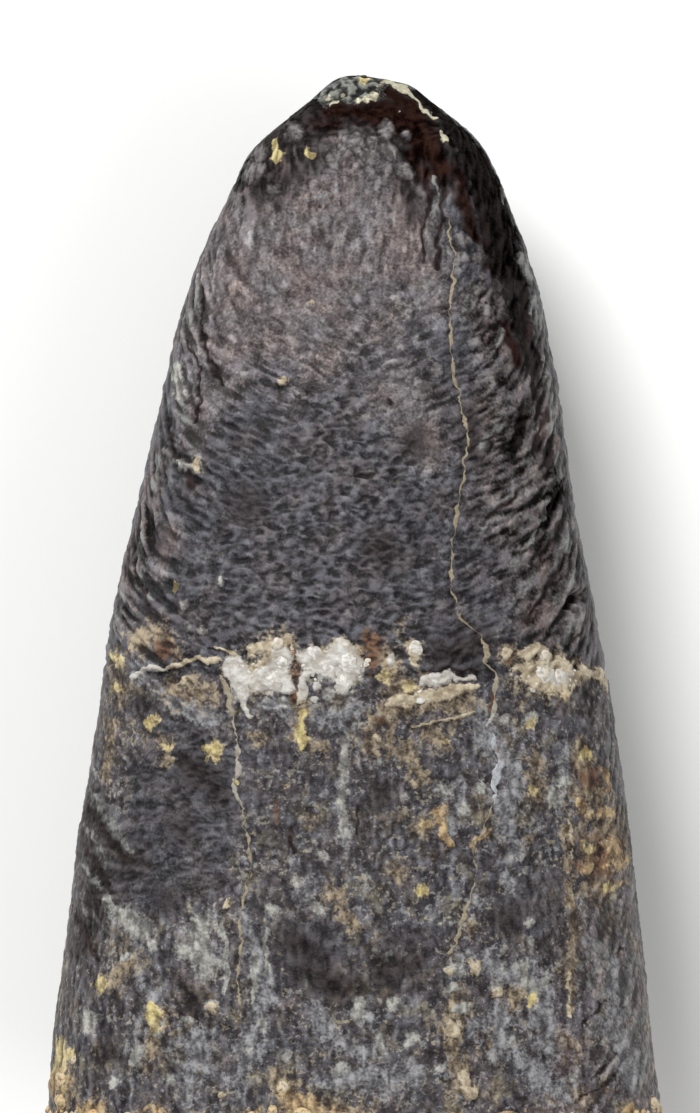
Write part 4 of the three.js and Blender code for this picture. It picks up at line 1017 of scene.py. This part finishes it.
# Each finish has the name of the mark that it fills, a colour in its creases and one on its grains, the
# share of noise (breakUp) and of whole grains (byGrain) in its edge, and where along the mark's strength
# it fades in
enamel = {
    # crease colours, here and in every finish, are partly the dark fill of the creases and partly painted
    # shade in them
    "shadedCrease": (0.004, 0.003, 0.004, 1),
    "grain": (0.112, 0.108, 0.117, 1),
    "rough": 0.38,
    "shine": 0.2,
    "bumpStrength": 0.7,
    "bumpDepth": 0.045,
    "broadFinishes": {  # under the tints and drifts
        "flank": {
            "shadedCrease": (0.002, 0.0008, 0.0008, 1), "grain": (0.178, 0.158, 0.155, 1),
            "breakUp": 0.5, "byGrain": 0.2, "fade": (-0.1, 0.7), "rough": 0.5, "shine": 0.06,
        },
        "weathered": {
            "shadedCrease": (0.015, 0.012, 0.014, 1), "grain": (0.152, 0.146, 0.148, 1),
            "breakUp": 0.6, "byGrain": 0.3, "fade": (0.2, 0.8), "rough": 0.5, "shine": 0.2,
        },
        "worn": {
            "shadedCrease": (0.025, 0.018, 0.018, 1), "grain": (0.252, 0.225, 0.223, 1),
            "breakUp": 1.0, "byGrain": 0.3, "fade": (-0.5, 0.7), "rough": 0.45, "shine": 0.18,
        },
    },
    "finishes": {  # over them
        "apex": {
            "shadedCrease": (0.002, 0.0008, 0.0006, 1), "grain": (0.028, 0.0125, 0.009, 1),
            "breakUp": 0.9, "byGrain": 0.2, "fade": (-0.6, 0.8), "rough": 0.35, "shine": 0.0,
        },
        "black": {
            "shadedCrease": (0.001, 0.0006, 0.0006, 1), "grain": (0.022, 0.018, 0.018, 1),
            "breakUp": 0.6, "byGrain": 0.5, "fade": (-0.25, 0.5), "rough": 0.35, "shine": 0.0,
        },
        "hollow": {
            "shadedCrease": (0.003, 0.001, 0.001, 1), "grain": (0.05, 0.038, 0.038, 1),
            "breakUp": 0.8, "byGrain": 0.3, "fade": (-0.4, 1.3), "rough": 0.5, "shine": 0.1,
        },
        "pebble": {
            "shadedCrease": (0.045, 0.037, 0.037, 1), "grain": (0.215, 0.2, 0.198, 1),
            "breakUp": 0.6, "byGrain": 0.0, "fade": (-0.1, 0.7), "rough": 0.4, "shine": 0.2,
        },
        "paleStripeAndGlint": {
            "shadedCrease": (0.015, 0.012, 0.012, 1), "grain": (0.22, 0.222, 0.212, 1),
            "breakUp": 1.0, "byGrain": 0.3, "fade": (-0.1, 0.8), "rough": 0.4, "shine": 0.2,
        },
        "darkStripe": {
            "shadedCrease": (0.003, 0.001, 0.001, 1), "grain": (0.028, 0.016, 0.015, 1),
            "breakUp": 0.8, "byGrain": 0.2, "fade": (-0.3, 0.8), "rough": 0.5, "shine": 0.1,
        },
        "bloomAndLit": {
            "shadedCrease": (0.045, 0.042, 0.046, 1), "grain": (0.31, 0.31, 0.318, 1),
            "breakUp": 1.5, "byGrain": 0.5, "fade": (0.05, 0.9), "rough": 0.6, "shine": 0.2,
        },
        "stain": {
            "shadedCrease": (0.03, 0.019, 0.014, 1), "grain": (0.38, 0.31, 0.215, 1),
            "breakUp": 1.2, "byGrain": 0.9, "fade": (0.1, 0.9), "rough": 0.65, "shine": 0.15,
        },
        "pale": {
            "shadedCrease": (0.09, 0.085, 0.08, 1), "grain": (0.42, 0.42, 0.38, 1),
            "breakUp": 0.8, "byGrain": 0.3, "fade": (-0.2, 0.5), "rough": 0.5, "shine": 0.25,
        },
        "rust": {
            "shadedCrease": (0.02, 0.008, 0.005, 1), "grain": (0.2, 0.11, 0.065, 1),
            "breakUp": 1.2, "byGrain": 0.8, "fade": (-0.1, 0.7), "rough": 0.6, "shine": 0.2,
        },
        "matrix": {
            "shadedCrease": (0.2, 0.125, 0.07, 1), "grain": (0.52, 0.37, 0.205, 1),
            "breakUp": 0.3, "byGrain": 0.0, "fade": (0.4, 0.6), "rough": 0.85, "shine": 0.2,
        },
        "olive": {
            "shadedCrease": (0.12, 0.09, 0.045, 1), "grain": (0.6, 0.5, 0.27, 1),
            "breakUp": 1.1, "byGrain": 0.6, "fade": (-0.1, 0.4), "rough": 0.65, "shine": 0.2,
        },
        "ochre": {
            "shadedCrease": (0.1, 0.062, 0.035, 1), "grain": (0.52, 0.385, 0.215, 1),
            "breakUp": 1.3, "byGrain": 0.6, "fade": (-0.1, 0.6), "rough": 0.7, "shine": 0.2,
        },
        "cream": {
            "shadedCrease": (0.22, 0.17, 0.11, 1), "grain": (0.55, 0.48, 0.35, 1),
            "breakUp": 1.1, "byGrain": 0.3, "fade": (-0.2, 0.35), "rough": 0.5, "shine": 0.3,
        },
        "white": {
            "shadedCrease": (0.34, 0.31, 0.27, 1), "grain": (0.54, 0.53, 0.495, 1),
            "breakUp": 0.8, "byGrain": 0.1, "fade": (-0.3, 0.2), "rough": 0.42, "shine": 0.3,
        },
        "chipped": {
            "shadedCrease": (0.01, 0.01, 0.01, 1), "grain": (0.21, 0.215, 0.19, 1),
            "breakUp": 0.8, "byGrain": 0.4, "fade": (-0.1, 0.3), "rough": 0.55, "shine": 0.1,
        },
        "rim": {
            "shadedCrease": (0.22, 0.2, 0.13, 1), "grain": (0.6, 0.57, 0.42, 1),
            "breakUp": 0.8, "byGrain": 0.2, "fade": (-0.05, 0.4), "rough": 0.4, "shine": 0.3,
        },
        "yellow": {
            "shadedCrease": (0.2, 0.15, 0.06, 1), "grain": (0.62, 0.53, 0.25, 1),
            "breakUp": 0.8, "byGrain": 0.2, "fade": (-0.2, 0.25), "rough": 0.5, "shine": 0.25,
        },
        # The pit's inside is painted near black: painted shade in the deep pit
        "pit": {
            "shadedCrease": (0.002, 0.001, 0.001, 1), "grain": (0.006, 0.004, 0.004, 1),
            "breakUp": 0.3, "byGrain": 0.0, "fade": (-0.2, 0.3), "rough": 0.7, "shine": 0.05,
        },
    },
    "fineSize": 0.06,
    "mottleSize": 0.35,
    "mosaicSize": 0.115,
    "mosaicStretch": 1.4,
    # tints of single grains, from the rarest dark ones to the rarest pale ones
    "tints": [
        (0.0, (0.3, 0.22, 0.24, 1)), (0.15, (0.6, 0.52, 0.54, 1)), (0.4, (0.95, 0.88, 0.94, 1)),
        (0.65, (1.02, 1.05, 1.08, 1)), (0.85, (1.35, 1.41, 1.38, 1)), (1.0, (2.0, 2.04, 1.9, 1)),
    ],
    "tinted": (0.5, -0.15),  # share of the tints above the break, and what the lower half adds
    # colours that drift over the whole crown, and streaks and earthy places of the lower half
    "drifts": [(0.36, (1.1, 1.0, 0.96, 1)), (0.5, (0.97, 0.96, 0.98, 1)), (0.64, (0.9, 0.94, 1.0, 1))],
    "driftSize": 0.7,
    "streaks": [(0.38, (0.7, 0.68, 0.68, 1)), (0.52, (0.98, 0.98, 0.98, 1)), (0.66, (1.5, 1.52, 1.48, 1))],
    "streakSize": 0.17,
    "streakStretch": 2.6,
    "earths": [
        (0.34, (0.62, 0.58, 0.6, 1)), (0.44, (0.85, 0.82, 0.86, 1)), (0.52, (0.98, 0.99, 1.03, 1)),
        (0.58, (1.2, 1.12, 0.92, 1)), (0.68, (1.55, 1.42, 1.0, 1)),
    ],
    "earthSize": 0.5,
    # small pale flecks, from the most common to the rarest, and how they are spread; above the break the
    # faint ones are painted glints
    "fleckAndGlintColours": [
        (0.0, (0.36, 0.38, 0.33, 1)), (0.4, (0.34, 0.36, 0.4, 1)), (0.65, (0.44, 0.4, 0.3, 1)),
        (0.85, (0.5, 0.42, 0.24, 1)), (1.0, (0.5, 0.48, 0.46, 1)),
    ],
    "fleckSize": 0.1,
    "fleckSpread": 0.6,
    "fleckEdge": (0.63, 0.73),
}


def layFinish(tree, surface, name, finish, grain, wander, tone):
    # One finish over the colour, roughness and shine that are there
    colour, rough, shine = surface
    strength = plus(tree, readMask(tree, name), times(tree, wander, finish["breakUp"]))
    strength = plus(tree, strength, times(tree, tone, finish["byGrain"]))
    share = ease(tree, strength, *finish["fade"])
    own = mixColours(tree, grain, finish["shadedCrease"], finish["grain"])
    return (
        mixColours(tree, share, colour, own),
        mixValues(tree, share, rough, finish["rough"]),
        mixValues(tree, share, shine, finish["shine"]),
    )


def enamelMaterial():
    material, tree, shader = newMaterial("wrinkled_enamel")
    fine = noiseAt(tree, enamel["fineSize"], 4.0)
    mottle = noiseAt(tree, enamel["mottleSize"])
    cells = cellsAt(tree, enamel["mosaicSize"], 0.8, enamel["mosaicStretch"])
    cellTones = addNode(tree, "ShaderNodeSeparateColor", {0: cells.outputs["Color"]}).outputs

    # Height of the grain: the mesh's own relief with fine noise on it
    height = plus(tree, readMask(tree, "relief"), times(tree, fine, 0.9))
    height = plus(tree, height, times(tree, minus(tree, mottle, 0.2), 0.35))
    grain = calculate(tree, "POWER", ease(tree, height, 0.62, 1.5), 1.35)

    wander = minus(tree, plus(tree, fine, mottle), 1.0)
    tone = minus(tree, cellTones[0], 0.5)
    # The colour runs from the crease colour on low places to the grain colour on high ones: partly the
    # enamel's own darker creases, partly painted shade
    surface = mixColours(tree, grain, enamel["shadedCrease"], enamel["grain"]), enamel["rough"], enamel["shine"]
    for name, finish in enamel["broadFinishes"].items():
        surface = layFinish(tree, surface, name, finish, grain, wander, tone)
    colour, rough, shine = surface

    # Single grains tinted, more of them on the lower half and fewer on the facet
    weathered = readMask(tree, "weathered")
    worn = ease(tree, readMask(tree, "worn"), -0.3, 1.4)
    above, added = enamel["tinted"]
    tinted = plus(tree, times(tree, weathered, added), above)
    tinted = minus(tree, tinted, times(tree, worn, 0.2))
    tint = mixColours(tree, tinted, (1, 1, 1, 1), rampOf(tree, cellTones[0], enamel["tints"]))
    colour = mixColours(tree, 1.0, colour, tint, "MULTIPLY")

    # Colours that drift over the crown, and the earths and streaks of the lower half
    drifts = rampOf(tree, noiseAt(tree, enamel["driftSize"]), enamel["drifts"])
    colour = mixColours(tree, 1.0, colour, drifts, "MULTIPLY")
    earths = rampOf(tree, noiseAt(tree, enamel["earthSize"], 4.0, 0.65, 1.3), enamel["earths"])
    colour = mixColours(tree, weathered, colour, mixColours(tree, 1.0, colour, earths, "MULTIPLY"))
    streaks = noiseAt(tree, enamel["streakSize"], stretch=enamel["streakStretch"])
    streaks = mixColours(tree, 1.0, colour, rampOf(tree, streaks, enamel["streaks"]), "MULTIPLY")
    colour = mixColours(tree, calculate(tree, "MAXIMUM", weathered, worn), colour, streaks)

    # Pale flecks in drifts, many below the break and few and faint above it, where they are painted glints,
    # strongest on the high grains
    drift = noiseAt(tree, enamel["fleckSpread"], 2.0)
    fleckAndGlint = plus(tree, noiseAt(tree, enamel["fleckSize"], 2.0), times(tree, minus(tree, drift, 0.5), 0.5))
    fleckAndGlint = plus(tree, fleckAndGlint, times(tree, weathered, 0.06))
    fleckAndGlint = ease(tree, fleckAndGlint, *enamel["fleckEdge"])
    fleckAndGlint = times(tree, fleckAndGlint, plus(tree, times(tree, weathered, 0.4), 0.16))
    fleckAndGlint = times(tree, fleckAndGlint, plus(tree, times(tree, grain, 0.6), 0.4))
    colour = mixColours(tree, fleckAndGlint, colour, rampOf(tree, cellTones[1], enamel["fleckAndGlintColours"]))

    surface = colour, rough, shine
    for name, finish in enamel["finishes"].items():
        surface = layFinish(tree, surface, name, finish, grain, wander, tone)
    colour, rough, shine = surface
    feed(tree, shader, {"Specular IOR Level": shine})
    rough = calculate(tree, "ADD", rough, times(tree, minus(tree, fine, 0.5), 0.3), clamp=True)
    height = plus(tree, times(tree, cells.outputs["Distance"], -0.5), fine)
    finishShader(tree, shader, colour, rough, height, enamel["bumpStrength"], enamel["bumpDepth"])
    return material


mineral = {
    "white": (0.6, 0.59, 0.56, 1),
    "ochre": (0.56, 0.44, 0.27, 1),
    "shade": (0.34, 0.3, 0.25, 1),
    "fineSize": 0.09,
    "broadSize": 0.22,
    "rough": 0.45,
    "bumpDepth": 0.02,
}


def mineralMaterial():
    material, tree, shader = newMaterial("white_calcite")
    fine = noiseAt(tree, mineral["fineSize"])
    broad = noiseAt(tree, mineral["broadSize"], 2.0)
    stain = plus(tree, readMask(tree, "tint"), minus(tree, broad, 0.5))
    colour = mixColours(tree, ease(tree, stain, 0.25, 0.95), mineral["white"], mineral["ochre"])
    colour = mixColours(tree, ease(tree, fine, 0.62, 0.35), colour, mineral["shade"])
    finishShader(tree, shader, colour, mineral["rough"], fine, 0.5, mineral["bumpDepth"])
    return material


filling = {
    "yellow": (0.27, 0.225, 0.145, 1),
    "blue": (0.42, 0.45, 0.49, 1),
    "stain": (0.15, 0.1, 0.06, 1),
    "darkInLows": (0.1, 0.08, 0.06, 1),
    "fineSize": 0.06,
    "broadSize": 0.35,
    "rough": 0.6,
    "bumpDepth": 0.015,
}


def veinMaterial():
    material, tree, shader = newMaterial("vein_filling")
    fine = noiseAt(tree, filling["fineSize"])
    broad = noiseAt(tree, filling["broadSize"], 2.0)
    colour = mixColours(tree, readMask(tree, "tint"), filling["yellow"], filling["blue"])
    colour = mixColours(tree, ease(tree, broad, 0.55, 0.75), colour, filling["stain"])
    # Darker where the fine noise, which also sets the bump's height, is low
    darkenedInLows = mixColours(tree, 0.5, colour, filling["darkInLows"])
    colour = mixColours(tree, ease(tree, fine, 0.3, 0.7), darkenedInLows, colour)
    finishShader(tree, shader, colour, filling["rough"], fine, 0.5, filling["bumpDepth"])
    return material


sand = {
    "pale": (0.54, 0.48, 0.36, 1),
    "tan": (0.55, 0.42, 0.24, 1),
    "orange": (0.58, 0.35, 0.17, 1),
    "darkInLows": (0.12, 0.07, 0.04, 1),
    "fineSize": 0.07,
    "broadSize": 0.4,
    "rough": 0.8,
    "bumpDepth": 0.03,
}


def sandMaterial():
    material, tree, shader = newMaterial("ochre_matrix")
    fine = noiseAt(tree, sand["fineSize"], 4.0)
    broad = noiseAt(tree, sand["broadSize"], 2.0)
    tint = plus(tree, readMask(tree, "tint"), times(tree, minus(tree, broad, 0.5), 0.6))
    colour = mixColours(tree, ease(tree, tint, 0.0, 0.5), sand["pale"], sand["tan"])
    colour = mixColours(tree, ease(tree, tint, 0.5, 1.0), colour, sand["orange"])
    # Darker where the fine noise, which also sets the bump's height, is low
    colour = mixColours(tree, ease(tree, fine, 0.56, 0.3), colour, sand["darkInLows"])
    finishShader(tree, shader, colour, sand["rough"], fine, 0.7, sand["bumpDepth"])
    return material


crownLengths(enamelMaterial())
makeVeins(veinMaterial())
makeCalcite(mineralMaterial())
makeGravel(sandMaterial())

# Studio: a pale floor, a white surround and two soft lights
studio = {
    "floorSize": 3.0,  # metres
    "floorColour": (0.86, 0.86, 0.85, 1),
    "floorShade": (0.8, 0.8, 0.8, 1),
    "surround": 0.42,
    "key": {"place": (-0.14, 0.26, 0.3), "size": 0.16, "power": 1.9},
    "fill": {"place": (0.26, -0.12, 0.26), "size": 0.3, "power": 0.4},
}


def addFloor():
    half = studio["floorSize"] / 2
    mesh = bpy.data.meshes.new("floor")
    corners = [(-half, -half, 0), (half, -half, 0), (half, half, 0), (-half, half, 0)]
    mesh.from_pydata(corners, [], [(0, 1, 2, 3)])
    material, tree, shader = newMaterial("pale_floor")
    soft = times(tree, noiseAt(tree, 12, 2.0), 0.03)
    colour = mixColours(tree, soft, studio["floorColour"], studio["floorShade"])
    feed(tree, shader, {"Base Color": colour, "Roughness": 0.9})
    mesh.materials.append(material)
    floor = bpy.data.objects.new("floor", mesh)
    bpy.context.scene.collection.objects.link(floor)


def addLight(name, place, size, power):
    light = bpy.data.lights.new(name, "AREA")
    light.size = size
    light.energy = power
    lamp = bpy.data.objects.new(name, light)
    lamp.location = place
    lamp.rotation_euler = (-Vector(place)).to_track_quat("-Z", "Y").to_euler()
    bpy.context.scene.collection.objects.link(lamp)


addFloor()
addLight("key", **studio["key"])
addLight("fill", **studio["fill"])
world = bpy.data.worlds.new("white_surround")
world.use_nodes = True
background = world.node_tree.nodes["Background"]
background.inputs["Color"].default_value = (1, 1, 1, 1)
background.inputs["Strength"].default_value = studio["surround"]
bpy.context.scene.world = world
bpy.context.scene.view_settings.view_transform = "Standard"
print("studio ready")

# The camera looks straight down with the tip at the top of the picture. Fifty pixels of the 1113 down
# the picture are one millimetre at the height of the widest line.
view = {
    "pixelsDown": 1113,
    "pixelsPerMm": 50,
    "centre": (-0.08, 1.57),
    "sharpHeight": 4.0,
    "lens": 400,
    "sensor": 36,
}
lens = bpy.data.cameras.new("overhead")
lens.lens = view["lens"]
lens.sensor_width = view["sensor"]
seen = view["pixelsDown"] / view["pixelsPerMm"]
height = seen * view["lens"] / view["sensor"] + view["sharpHeight"]
lens.clip_start = 0.02
overhead = bpy.data.objects.new("overhead", lens)
overhead.location = (view["centre"][0] * mm, view["centre"][1] * mm, height * mm)
bpy.context.scene.collection.objects.link(overhead)
bpy.context.scene.camera = overhead
